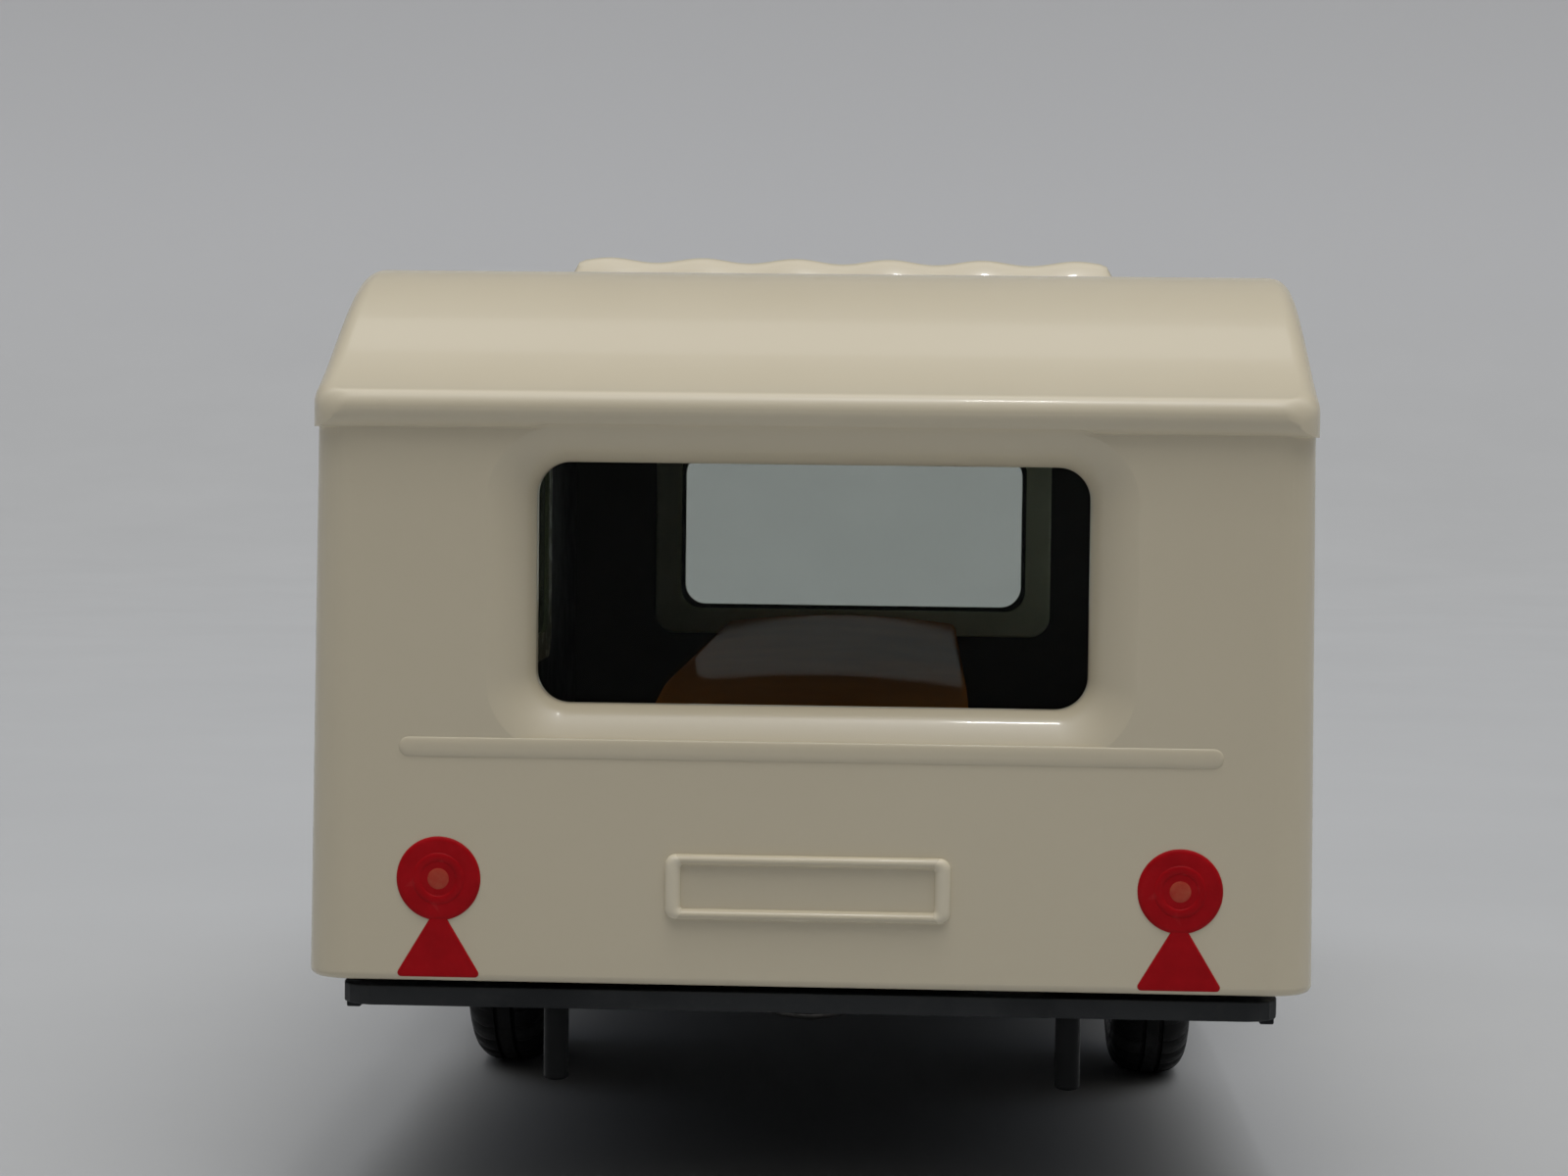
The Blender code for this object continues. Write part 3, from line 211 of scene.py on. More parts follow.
paintSkin = {
    "mottleDetail": 0.0, "dust": 0.0, "dustColour": (0.60, 0.53, 0.40), "roughness": (0.22, 0.27),
    "skinSize": 1.6, "skinDetail": 0.0, "bump": 0.08, "bumpHeight": 0.01,
    "fixed": {"Coat Weight": 0.3, "Coat Roughness": 0.05},
}
plasticSkin = {
    "mottleSize": 4.0, "roughness": (0.40, 0.55), "skinSize": 0.16, "bump": 0.45, "bumpHeight": 0.012,
}
steelSkin = {
    "dust": 0.3, "skinSize": 0.10, "bump": 0.4, "bumpHeight": 0.006, "fixed": {"Metallic": 1.0},
}
finishValues = {
    # its lighter edge colour is partly wear and partly a painted highlight on convex edges
    "creamPaint": {
        **paintSkin, "colour": (0.70, 0.627, 0.472), "shade": (0.688, 0.613, 0.458), "mottleSize": 12.0,
        "wearAndHighlight": 0.12, "wearAndHighlightColour": (0.77, 0.73, 0.63),
    },
    # painted highlight: a paler cream on the plate's upright bars, standing for the light they catch, with
    # lighter edges still
    "uprightHighlightPaint": {
        **paintSkin, "colour": (0.83, 0.755, 0.585), "shade": (0.80, 0.725, 0.56), "mottleSize": 3.0,
        "wearAndHighlight": 0.2, "wearAndHighlightColour": (0.85, 0.81, 0.70),
    },
    # painted shade: the inside of the casting is near-black, standing for the cream paint lying in shade
    # inside the cabin
    "paintedCabinShade": {
        "colour": (0.010, 0.0095, 0.007), "shade": (0.007, 0.0065, 0.005), "mottleSize": 5.0,
        "dust": 0.2, "dustColour": (0.02, 0.019, 0.014), "wearAndHighlight": 0.2, "wearAndHighlightColour": (0.04, 0.038, 0.028),
        "roughness": (0.40, 0.55), "skinSize": 0.6, "bump": 0.3, "bumpHeight": 0.02,
    },
    "darkPlastic": {
        **plasticSkin, "colour": (0.019, 0.021, 0.023), "shade": (0.014, 0.0155, 0.017),
        "dust": 0.25, "dustColour": (0.045, 0.045, 0.043), "wearAndHighlight": 0.6, "wearAndHighlightColour": (0.075, 0.077, 0.08),
        "fixed": {"Specular IOR Level": 0.12},
    },
    # painted shade: a darker copy of the dark plastic, for the steadies that stand in the shade under the
    # body
    "underShadePlastic": {
        **plasticSkin, "colour": (0.0045, 0.005, 0.0052), "shade": (0.0035, 0.004, 0.0042),
        "dust": 0.2, "dustColour": (0.012, 0.012, 0.0115), "wearAndHighlight": 0.4, "wearAndHighlightColour": (0.025, 0.026, 0.027),
        "fixed": {"Specular IOR Level": 0.1},
    },
    "tyreBlack": {
        "colour": (0.010, 0.010, 0.0105), "shade": (0.007, 0.007, 0.0075), "mottleSize": 2.0,
        "dust": 0.3, "dustColour": (0.035, 0.033, 0.030), "wearAndHighlight": 0.5, "wearAndHighlightColour": (0.05, 0.05, 0.05),
        "roughness": (0.42, 0.62), "skinSize": 0.12, "bump": 0.5, "bumpHeight": 0.01,
        "fixed": {"Specular IOR Level": 0.15},
    },
    "hubFoil": {
        "colour": (0.72, 0.72, 0.73), "shade": (0.60, 0.60, 0.61), "mottleSize": 1.2,
        "dust": 0.3, "dustColour": (0.30, 0.30, 0.30), "wearAndHighlight": 0.6, "wearAndHighlightColour": (0.35, 0.35, 0.36),
        "roughness": (0.20, 0.32), "skinSize": 0.3, "skinDetail": 1.0, "bump": 0.1, "bumpHeight": 0.006,
        "fixed": {"Metallic": 1.0},
    },
    "axleSteel": {
        **steelSkin, "colour": (0.60, 0.59, 0.58), "shade": (0.46, 0.45, 0.44), "mottleSize": 0.8,
        "dustColour": (0.24, 0.22, 0.20), "wearAndHighlight": 0.4, "wearAndHighlightColour": (0.72, 0.72, 0.72),
        "roughness": (0.22, 0.40), "stretch": (0.3, 2.0, 2.0),
    },
    "rivetSteel": {
        **steelSkin, "colour": (0.075, 0.072, 0.070), "shade": (0.055, 0.053, 0.051), "mottleSize": 0.7,
        "dustColour": (0.05, 0.045, 0.04), "wearAndHighlight": 0.5, "wearAndHighlightColour": (0.30, 0.29, 0.28),
        "roughness": (0.30, 0.46),
    },
    "brownMoulding": {
        "colour": (0.49, 0.17, 0.032), "shade": (0.41, 0.135, 0.025), "mottleSize": 3.5,
        "dust": 0.15, "dustColour": (0.20, 0.13, 0.08), "wearAndHighlight": 0.4, "wearAndHighlightColour": (0.40, 0.19, 0.08),
        "roughness": (0.40, 0.50), "skinSize": 0.5, "bump": 0.2, "bumpHeight": 0.01,
        "fixed": {"Specular IOR Level": 0.0, "Coat Weight": 0.16, "Coat Roughness": 0.1},
    },
    # painted light: the panes' margins behind the wall glow a light olive as if lit through the plastic, and
    # their edges are painted highlights
    "paneGlowRim": {
        "colour": (0.70, 0.74, 0.55), "shade": (0.62, 0.66, 0.48), "mottleSize": 2.5,
        "dust": 0.2, "dustColour": (0.50, 0.52, 0.42), "wearAndHighlight": 0.8, "wearAndHighlightColour": (0.85, 0.88, 0.72),
        "roughness": (0.18, 0.30), "skinSize": 0.4, "bump": 0.15, "bumpHeight": 0.008,
        "fixed": {"Specular IOR Level": 0.3},
    },
    "lampRed": {
        "colour": (0.46, 0.004, 0.009), "shade": (0.38, 0.003, 0.007), "mottleSize": 0.8,
        "dust": 0.2, "dustColour": (0.50, 0.02, 0.025), "wearAndHighlight": 0.25, "wearAndHighlightColour": (0.55, 0.05, 0.05),
        "roughness": (0.28, 0.40), "skinSize": 0.12, "bump": 0.3, "bumpHeight": 0.006,
        "fixed": {"Specular IOR Level": 0.1},
    },
    "lampCentre": {
        "colour": (0.50, 0.09, 0.05), "shade": (0.47, 0.045, 0.028), "mottleSize": 0.35,
        "dust": 0.3, "dustColour": (0.50, 0.08, 0.05), "wearAndHighlight": 0.3, "wearAndHighlightColour": (0.60, 0.25, 0.16),
        "roughness": (0.25, 0.40), "skinSize": 0.10, "bump": 0.3, "bumpHeight": 0.006,
        "fixed": {"Specular IOR Level": 0.15},
    },
}


def makeClear(name, values):
    finish, nodes, links, shader, place = startFinish(name)
    cloud = addGrain(nodes, links, place, values["cloudSize"], values["cloudDetail"])
    scuff = addGrain(nodes, links, place, values["scuffSize"], values["scuffDetail"])
    stops = tuple(zip(values["cloudRange"], (values["shade"], values["colour"])))
    links.new(addRamp(nodes, links, cloud, stops), shader.inputs["Base Color"])
    dull = addRange(nodes, links, scuff, *values["scuffRange"], *values["roughness"])
    links.new(dull, shader.inputs["Roughness"])
    addBump(nodes, links, cloud, values, shader)
    shader.inputs["Transmission Weight"].default_value = 1.0
    shader.inputs["IOR"].default_value = values["ior"]
    return finish


paneValues = {
    "colour": (0.70, 0.73, 0.705), "shade": (0.67, 0.70, 0.675),
    "cloudSize": 6.0, "cloudDetail": 3.0, "cloudRange": (0.3, 0.7),
    "scuffSize": 0.5, "scuffDetail": 4.0, "scuffRange": (0.45, 0.8),
    "roughness": (0.0, 0.04), "bump": 0.05, "bumpHeight": 0.01, "ior": 1.12,
}

finishes = {name: makeFinish(name, values) for name, values in finishValues.items()}
finishes["clearPane"] = makeClear("clearPane", paneValues)
print("finishes made:", len(finishes))


# Mesh helpers. Every form is lofted through loops of points.

def arcPoints(centre, radius, start, end, steps):
    points = []
    for step in range(steps + 1):
        angle = math.radians(start + (end - start) * step / steps)
        points.append((centre[0] + radius * math.cos(angle), centre[1] + radius * math.sin(angle)))
    return points


def roundedLoop(width, height, radius, centre=(0, 0), steps=10):
    points = []
    for quarter, (right, top) in enumerate(((1, 1), (-1, 1), (-1, -1), (1, -1))):
        corner = (centre[0] + right * (width / 2 - radius), centre[1] + top * (height / 2 - radius))
        points += arcPoints(corner, radius, quarter * 90, quarter * 90 + 90, steps)
    return points


def circleLoop(radius, centre, steps):
    return arcPoints(centre, radius, 0, 360 - 360 / steps, steps - 1)


def quarterTurn(steps, first=0):
    # sine and cosine at even steps from 0 to 90 degrees
    turns = [math.radians(90 * step / steps) for step in range(first, steps + 1)]
    return [(math.sin(turn), math.cos(turn)) for turn in turns]


def easedEdge(radius, steps):
    # (inset, rise) of a rounded edge, from its end to the full section
    return [(radius * (1 - sine), radius * (1 - cosine)) for sine, cosine in quarterTurn(steps)]


def levelled(outline, heights):
    return [[(x, y, z) for x, y in outline] for z in heights]


def loft(loops, closed=False):
    bm = bmesh.new()
    rings = [[bm.verts.new(point) for point in loop] for loop in loops]
    pairs = list(zip(rings, rings[1:]))
    if closed:
        pairs.append((rings[-1], rings[0]))
    for back, ahead in pairs:
        for i in range(len(back)):
            j = (i + 1) % len(back)
            bm.faces.new((back[i], back[j], ahead[j], ahead[i]))
    if not closed:
        bm.faces.new(rings[0])
        bm.faces.new(rings[-1])
    bmesh.ops.recalc_face_normals(bm, faces=bm.faces)
    return bm


def asObject(name, bm):
    mesh = bpy.data.meshes.new(name)
    bm.to_mesh(mesh)
    bm.free()
    piece = bpy.data.objects.new(name, mesh)
    scene.collection.objects.link(piece)
    return piece


def shape(name, loops, closed=False):
    return asObject(name, loft(loops, closed))


def combine(piece, steps):
    # steps are ("UNION" or "DIFFERENCE", object) in the order they are done
    for operation, tool in steps:
        change = piece.modifiers.new(tool.name, "BOOLEAN")
        change.operation = operation
        change.solver = "EXACT"
        change.object = tool
    depsgraph = bpy.context.evaluated_depsgraph_get()
    mesh = bpy.data.meshes.new_from_object(piece.evaluated_get(depsgraph))
    piece.modifiers.clear()
    piece.data = mesh
    for _, tool in steps:
        bpy.data.objects.remove(tool, do_unlink=True)
    return piece


def finishPiece(piece, finish, body, replaced=(), sharpAngle=38.0):
    mesh = piece.data
    mesh.transform(Matrix.Scale(mm, 4))
    mesh.shade_smooth()
    mesh.set_sharp_from_angle(angle=math.radians(sharpAngle))
    if not mesh.materials:
        mesh.materials.append(finishes[finish])
    facing = piece.modifiers.new("facing", "WEIGHTED_NORMAL")
    facing.keep_sharp = True
    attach(piece, body)
    if replaced:
        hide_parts(*replaced)
    return piece


# Body casting

bodyValues = {
    "width": 30.4,
    "wall": 1.5,
    "paneSeat": 0.2,  # the panes sit this far behind the wall
    "cornerRadius": 1.2,
    "hemRadius": 0.25,
    "hemSteps": 6,
    "wallHeight": 16.9,
    "cabinEdge": 0.8,
    "cabinPast": 0.1,  # faces this near the inside of a wall, or of the roof, are inside
    "cabinPastTop": 0.2,
    "archGap": 1.0,
    "archBead": 0.6,
    "archBeadProud": 0.1,
    "archFoot": 0.6,  # the raised edge starts this share up the hem
    "archSteps": 32,
    "archTurns": 8,
    "archCutSteps": 96,
    "edgeRound": 0.14,
    "cutPast": 1.5,
}
roofValues = {
    "lipOverhang": 0.445,
    "lipRadius": 0.6,
    "lipSlope": 19.0,
    "lipFrom": 5,  # degrees round the lip
    "lipSteps": 10,
    "sweep": 10.0,
    "sweepRise": 4.65,
    "sweepSteps": 30,
    "sweepSpread": 1.35,  # above 1, stations are closer at the lip
    "crown": 0.5,
    "crownSteps": 6,
    "thickness": 1.3,
    "edgeRadius": 0.65,
    "edgeShare": 0.8,  # of the lip's height at most
    "edgeSteps": 12,
    "dripEdge": 0.06,
}

rearPaneLow, rearPaneHigh = nodeBox("rear_glazing")
frontPaneLow, frontPaneHigh = nodeBox("front_glazing")
halfWidth = bodyValues["width"] / 2
wall = bodyValues["wall"]
rearY = rearPaneLow.y - wall - bodyValues["paneSeat"]
frontY = frontPaneHigh.y + wall + bodyValues["paneSeat"]
middleY = middle(rearY, frontY)
bottomZ = nodeBox("body_shell")[0].z
eaveZ = bottomZ + bodyValues["wallHeight"]
noseZ = eaveZ + roofValues["lipRadius"]
roofHalfLength = (frontY - rearY) / 2 + roofValues["lipOverhang"]
axleLow, axleHigh = nodeBox("axle")
axleY = middle(axleLow.y, axleHigh.y)
axleZ = middle(axleLow.z, axleHigh.z)
tyreLow, tyreHigh = nodeBox("right_tyre")
archRadius = (tyreHigh.z - tyreLow.z) / 2 + bodyValues["archGap"]


def onWall(face, along, up, out):
    # a point on one of the four walls, out from its face
    if face == "rear":
        return Vector((along, rearY - out, up))
    if face == "front":
        return Vector((along, frontY + out, up))
    if face == "right":
        return Vector((halfWidth + out, along, up))
    return Vector((-halfWidth - out, along, up))


def onFace(face, outline, out):
    return [onWall(face, along, up, out) for along, up in outline]


def aroundAxle(x, radius, angle):
    return (x, axleY + radius * math.cos(angle), axleZ + radius * math.sin(angle))


def roofTop(inset):
    # height of the roof, at a distance in from the nose of the lip
    lip = roofValues["lipRadius"]
    slope = math.radians(roofValues["lipSlope"])
    join = lip * (1 - math.sin(slope))
    if inset < join:
        return noseZ + math.sqrt(lip ** 2 - (lip - inset) ** 2)
    flat = roofHalfLength - roofValues["sweep"]
    top = noseZ + roofValues["sweepRise"]
    if inset > roofValues["sweep"]:
        return top + roofValues["crown"] * (1 - ((roofHalfLength - inset) / flat) ** 2)
    span = roofValues["sweep"] - join
    share = (inset - join) / span
    start = noseZ + lip * math.cos(slope)
    startSlope = math.tan(slope) * span
    endSlope = 2 * roofValues["crown"] / flat * span
    rise = 3 * share ** 2 - 2 * share ** 3
    early = share - 2 * share ** 2 + share ** 3
    late = share ** 3 - share ** 2
    return start * (1 - rise) + startSlope * early + top * rise + endSlope * late


def roofStations(first=0.0):
    # distances in from the lip, closest where the roof turns most
    v = roofValues
    lip, sweep = v["lipRadius"], v["sweep"]
    insets = []
    for step in range(v["lipSteps"]):
        angle = math.radians(v["lipFrom"] + (90 - v["lipFrom"]) * step / v["lipSteps"])
        insets.append(lip * (1 - math.cos(angle)))
    for step in range(v["sweepSteps"] + 1):
        insets.append(lip + (sweep - lip) * (step / v["sweepSteps"]) ** v["sweepSpread"])
    for step in range(1, v["crownSteps"]):
        insets.append(sweep + (roofHalfLength - sweep) * step / v["crownSteps"])
    kept = [first] * (first > 0) + [inset for inset in insets if inset > first]
    rear = [(inset, rearY - v["lipOverhang"] + inset) for inset in kept]
    ahead = [(inset, frontY + v["lipOverhang"] - inset) for inset in reversed(kept)]
    return rear + [(roofHalfLength, middleY)] + ahead


def archedLoop(y, half, low, high, radius):
    right = arcPoints((half - radius, high - radius), radius, 0, 90, roofValues["edgeSteps"])
    left = [(-x, z) for x, z in reversed(right)]
    return [(x, y, z) for x, z in [(half, low)] + right + left + [(-half, low)]]


def roofForm():
    lip, corner = roofValues["lipRadius"], bodyValues["cornerRadius"]
    loops = []
    for inset, y in roofStations():
        half = halfWidth + roofValues["dripEdge"]
        if inset < corner:
            half += math.sqrt(corner ** 2 - (corner - inset) ** 2) - corner
        low = eaveZ
        if inset < lip:
            low = noseZ - math.sqrt(lip ** 2 - (lip - inset) ** 2)
        high = roofTop(inset)
        radius = min(roofValues["edgeRadius"], (high - low) * roofValues["edgeShare"])
        loops.append(archedLoop(y, half, low, high, radius))
    return shape("roof", loops)


def cabinHollow():
    loops = []
    for inset, y in roofStations(roofValues["lipOverhang"] + wall):
        top = roofTop(inset) - roofValues["thickness"]
        low = bottomZ - bodyValues["cutPast"]
        loops.append(archedLoop(y, halfWidth - wall, low, top, bodyValues["cabinEdge"]))
    return shape("hollow", loops)


def wallBlock():
    hem = easedEdge(bodyValues["hemRadius"], bodyValues["hemSteps"])
    loops = []
    for inset, z in [(inset, bottomZ + rise) for inset, rise in hem] + [(0.0, noseZ)]:
        outline = roundedLoop(2 * (halfWidth - inset), frontY - rearY - 2 * inset,
                              bodyValues["cornerRadius"] - inset, (0, middleY))
        loops += levelled(outline, [z])
    return shape("bodyCasting", loops)


# Ribbed panel on the front half of the roof

ribValues = {
    "count": 6,
    "pitch": 3.75,
    "trim": 0.4,  # the outer ribs stop this much short
    "fromRear": 30.0,
    "length": 19.0,
    "ramp": 1.3,
    "rampSteps": 10,
    "valley": 1.05,
    "height": 0.2,
    "stepsPerRib": 14,
    "edge": 0.5,
    "sink": 0.1,
    "depth": 0.5,
}


def roofAt(y):
    return roofTop(min(y - rearY, frontY - y) + roofValues["lipOverhang"])


def ribPanel():
    v = ribValues
    half = v["count"] * v["pitch"] / 2 - v["trim"]
    valley = roofTop(roofHalfLength) + v["valley"]
    crest = []
    steps = v["count"] * v["stepsPerRib"]
    for step in range(steps + 1):
        x = half * (1 - 2 * step / steps)
        wave = (1 - math.cos(2 * math.pi * x / v["pitch"] + v["count"] * math.pi)) / 2
        side = max(0.0, v["edge"] - (half - abs(x)))  # the long edges are rounded over
        crest.append((x, valley + v["height"] * wave - v["edge"] + math.sqrt(v["edge"] ** 2 - side ** 2)))
    # each end comes up from the roof and rounds over into the ribs
    ramp = []
    for step in range(v["rampSteps"] + 1):
        share = step / v["rampSteps"]
        ramp.append((v["ramp"] * share, math.sin(math.pi / 2 * share)))
    rear = rearY + v["fromRear"]
    front = rear + v["length"]
    stations = [(rear + along, share) for along, share in ramp]
    stations += [(front - along, share) for along, share in reversed(ramp)]
    loops = []
    for y, share in stations:
        foot = roofAt(y) - v["sink"]
        outline = [(-half, foot - v["depth"]), (half, foot - v["depth"])]
        outline += [(x, foot + (z - foot) * share) for x, z in crest]
        loops.append([(x, y, z) for x, z in outline])
    return shape("ribs", loops)


# Windows, each with a broad rounded edge

windowValues = {
    "margin": 1.4,  # the pane reaches this far past the opening, and less at the top
    "topMargin": 0.9,
    "radius": 1.0,
    "rearSideWidth": 17.0,
    "leftFrontWidth": 11.0,
    "roundWidth": 1.55,  # of the rounded edge, along the wall and into it
    "roundDepth": 1.1,
    "roundFullness": 1.5,  # 1 is a straight slope, 2 a round edge
    "roundTop": 0.75,  # share of the width that there is room for under the roof
    "roundSteps": 16,
    "roundPast": 0.02,
    "cornerGrow": 0.8,  # of the growth of the edge
    "cornerSteps": 14,
}


def windowList():
    # name, wall, middle along the wall, middle height, width and height
    margin, top = windowValues["margin"], windowValues["topMargin"]
    found = []
    for name, low, high in (("rear", rearPaneLow, rearPaneHigh), ("front", frontPaneLow, frontPaneHigh)):
        sill, head = low.z + margin, high.z - top
        found.append((name, name, 0.0, middle(sill, head), high.x - low.x - 2 * margin, head - sill))
    leftLow, leftHigh = nodeBox("left_glazing")
    sill, head = leftLow.z + margin, leftHigh.z - top
    start, stop = leftLow.y + margin, leftHigh.y - margin
    rearWidth, frontWidth = windowValues["rearSideWidth"], windowValues["leftFrontWidth"]
    found.append(("leftRear", "left", start + rearWidth / 2, middle(sill, head), rearWidth, head - sill))
    found.append(("leftFront", "left", stop - frontWidth / 2, middle(sill, head), frontWidth, head - sill))
    for name, node in (("rightRear", "right_rear_glazing"), ("rightFront", "right_front_glazing")):
        low, high = nodeBox(node)
        width = high.y - low.y - 2 * margin
        found.append((name, "right", middle(low.y, high.y), middle(sill, head), width, head - sill))
    return found


def openingLoop(window, grow, out):
    v = windowValues
    face, along, up, width, height = window[1:]
    above = grow * v["roundTop"]
    outline = roundedLoop(width + 2 * grow, height + grow + above, v["radius"] + grow * v["cornerGrow"],
                          (along, up + (above - grow) / 2), v["cornerSteps"])
    return onFace(face, outline, out)


def windowCut(window, share=1.0):
    # the opening, with a broad edge rounded over into the face of the wall
    v, past = windowValues, bodyValues["cutPast"]
    width, depth = v["roundWidth"] * share, v["roundDepth"] * share
    power = 2 / v["roundFullness"]
    levels = [(0.0, -wall - past)]
    for sine, cosine in quarterTurn(v["roundSteps"]):
        across, out = 1 - max(cosine, 0.0) ** power, sine ** power
        levels.append((width * across, (depth + v["roundPast"]) * out - depth))
    levels.append((width, past))
    return shape(window[0] + "Cut", [openingLoop(window, grow, out) for grow, out in levels])


# Raised strips, pads and frames on a wall

padSteps = 6


def padLoops(face, outline, sink, proud, soft):
    # outline(inset) gives the pad's edge; the face is rounded over by soft
    levels = [(-sink, 0.0), (0.0, 0.0)]
    levels += [(proud * sine, soft * (1 - cosine)) for sine, cosine in quarterTurn(padSteps, 1)]
    return [onFace(face, outline(inset), out) for out, inset in levels]


beadValues = {"drop": 1.3, "width": 0.6, "rearLength": 25.0, "rearProud": 0.055, "sideProud": 0.08,
              "sideEnd": 5.0, "sink": 0.4, "soft": 0.85, "steps": 6}
plateValues = {"width": 8.7, "height": 2.0, "rise": 2.05, "sideBar": 0.5, "levelBar": 0.34, "sideProud": 0.22,
               "levelProud": 0.03, "radius": 0.25, "outerRadius": 1.4, "blend": 0.25, "sink": 0.3,
               "steps": 10, "cornerSteps": 6}


def waistBead(face, along, length, proud):
    v, width = beadValues, beadValues["width"]
    centre = (along, rearPaneLow.z + windowValues["margin"] - v["drop"])

    def outline(inset):
        return roundedLoop(length - 2 * inset, width - 2 * inset, width / 2 - inset, centre, v["steps"])

    return shape(face + "Waist", padLoops(face, outline, v["sink"], proud, width / 2 * v["soft"]))


def plateFrame():
    # a plain frame for a plate: broad upright bars at its ends, low thin ones above and below
    v = plateValues
    up = bottomZ + v["rise"] + v["height"] / 2
    inner = v["width"] / 2 - v["sideBar"]
    section = [(0.0, None)]
    for step in range(v["steps"] + 1):
        angle = math.pi * step / v["steps"]
        section.append((0.5 - 0.5 * math.cos(angle), math.sin(angle)))
    section.append((1.0, None))
    loops = []
    for share, height in section:
        outline = roundedLoop(v["width"] - 2 * v["sideBar"] * share, v["height"] - 2 * v["levelBar"] * share,
                              v["radius"] * (v["outerRadius"] - share), (0, up), v["cornerSteps"])
        loop = []
        for along, z in outline:
            upright = min(max((abs(along) - inner + v["blend"]) / v["blend"], 0.0), 1.0)
            proud = v["levelProud"] + (v["sideProud"] - v["levelProud"]) * upright
            loop.append(onWall("rear", along, z, -v["sink"] if height is None else proud * height))
        loops.append(loop)
    return shape("plateFrame", loops, closed=True)


# Wheel arches, with a raised edge

def archBead(side):
    v, half = bodyValues, bodyValues["archBead"] / 2
    start = math.degrees(math.asin((bottomZ + v["hemRadius"] * v["archFoot"] - axleZ) / archRadius))
    loops = []
    for step in range(v["archSteps"] + 1):
        angle = math.radians(start + (180 - 2 * start) * step / v["archSteps"])
        loop = []
        for turn in range(v["archTurns"] + 1):
            bend = math.radians(180 * turn / v["archTurns"])
            out = halfWidth + v["archBeadProud"] * math.sin(bend)
            loop.append(aroundAxle(side * out, archRadius + half - half * math.cos(bend), angle))
        for reach in (archRadius + v["archBead"], archRadius):
            loop.append(aroundAxle(side * (halfWidth - wall / 2), reach, angle))
        loops.append(loop)
    return shape("archBead", loops)


def archCut(side):
    outline = circleLoop(archRadius, (axleY, axleZ), bodyValues["archCutSteps"])
    ends = (tyreLow.x, halfWidth + bodyValues["cutPast"])
    return shape("archCut", [[(side * x, y, z) for y, z in outline] for x in ends])


# Door opening in the right wall, with eased edges

doorLow, doorHigh = nodeBox("door_panel")
doorValues = {"gap": 0.25, "pinRadius": 0.3, "pinLength": 0.8, "pinGap": 0.2, "pinSteps": 32, "boreSteps": 24,
              "openingRadius": 0.25, "openingSteps": 6, "easeSteps": 4, "edge": 0.16, "leastEdge": 0.02,
              "edgeSteps": 5, "hingeSteps": 20, "windowWidth": 4.6, "windowHeight": 5.6, "windowDrop": 1.6,
              "windowRound": 0.5, "paneMargin": 0.8}
doorBottom = doorLow.z + doorValues["pinLength"]
doorTop = doorHigh.z - doorValues["pinLength"]
hingeX = halfWidth - wall / 2
hingeY = doorHigh.y - wall / 2


def doorCuts():
    v, edge, past = doorValues, bodyValues["edgeRound"], bodyValues["cutPast"]
    width = doorHigh.y - doorLow.y + 2 * v["gap"]
    height = doorTop - doorBottom + 2 * v["gap"]
    centre = (middle(doorLow.y, doorHigh.y), middle(doorBottom, doorTop))
    levels = [(-wall - past, 0.0), (-edge, 0.0)]
    levels += [(-edge + edge * sine, edge * (1 - cosine)) for sine, cosine in quarterTurn(v["easeSteps"], 1)]
    loops = []
    for out, grow in levels + [(past, edge)]:
        outline = roundedLoop(width + 2 * grow, height + 2 * grow, v["openingRadius"] + grow, centre,
                              v["openingSteps"])
        loops.append(onFace("right", outline, out))
    reach = v["pinLength"] + v["pinGap"]
    bore = circleLoop(v["pinRadius"] + v["pinGap"], (hingeX, hingeY), v["boreSteps"])
    pinBore = shape("pinBore", levelled(bore, (doorBottom - reach, doorTop + reach)))
    return [shape("doorCut", loops), pinBore]


# Posts inside the casting that the rivets go into

postValues = {"radius": 1.5, "steps": 32, "fromEnd": 3.3, "height": 5.2, "web": 1.2, "webRound": 0.1,
              "webSteps": 2, "boreRadius": 0.9, "boreDepth": 3.2, "boreSteps": 24}


def postSteps():
    v, steps = postValues, []
    top = bottomZ + v["height"]
    for face, y, wallY in (("rear", rearY + v["fromEnd"], rearY + wall / 2),
                           ("front", frontY - v["fromEnd"], frontY - wall / 2)):
        post = circleLoop(v["radius"], (0, y), v["steps"])
        bore = circleLoop(v["boreRadius"], (0, y), v["boreSteps"])
        web = roundedLoop(v["web"], abs(y - wallY), v["webRound"], (0, middle(y, wallY)), v["webSteps"])
        for outline, heights in ((post, (bottomZ, top)), (web, (bottomZ + wall / 2, top - wall / 2))):
            steps.append(("UNION", shape(face + "Post", levelled(outline, heights))))
        ends = (bottomZ - bodyValues["cutPast"], bottomZ + v["boreDepth"])
        steps.append(("DIFFERENCE", shape(face + "Bore", levelled(bore, ends))))
    return steps


flareValues = {"out": 0.19, "depth": 1.2, "pinRoom": 0.5}


def flareSides(piece):
    # the outer skin of the side walls leans out towards the bottom, and the door's pin stays upright
    for vertex in piece.data.vertices:
        x, y, z = vertex.co
        if math.hypot(abs(x) - hingeX, y - hingeY) < flareValues["pinRoom"]:
            continue
        skin = min(max(1 - (halfWidth - abs(x)) / flareValues["depth"], 0.0), 1.0)
        drop = min(max((eaveZ - z) / (eaveZ - bottomZ), 0.0), 1.0)
        vertex.co.x += math.copysign(flareValues["out"] * drop * skin ** 2 * (3 - 2 * skin), x)


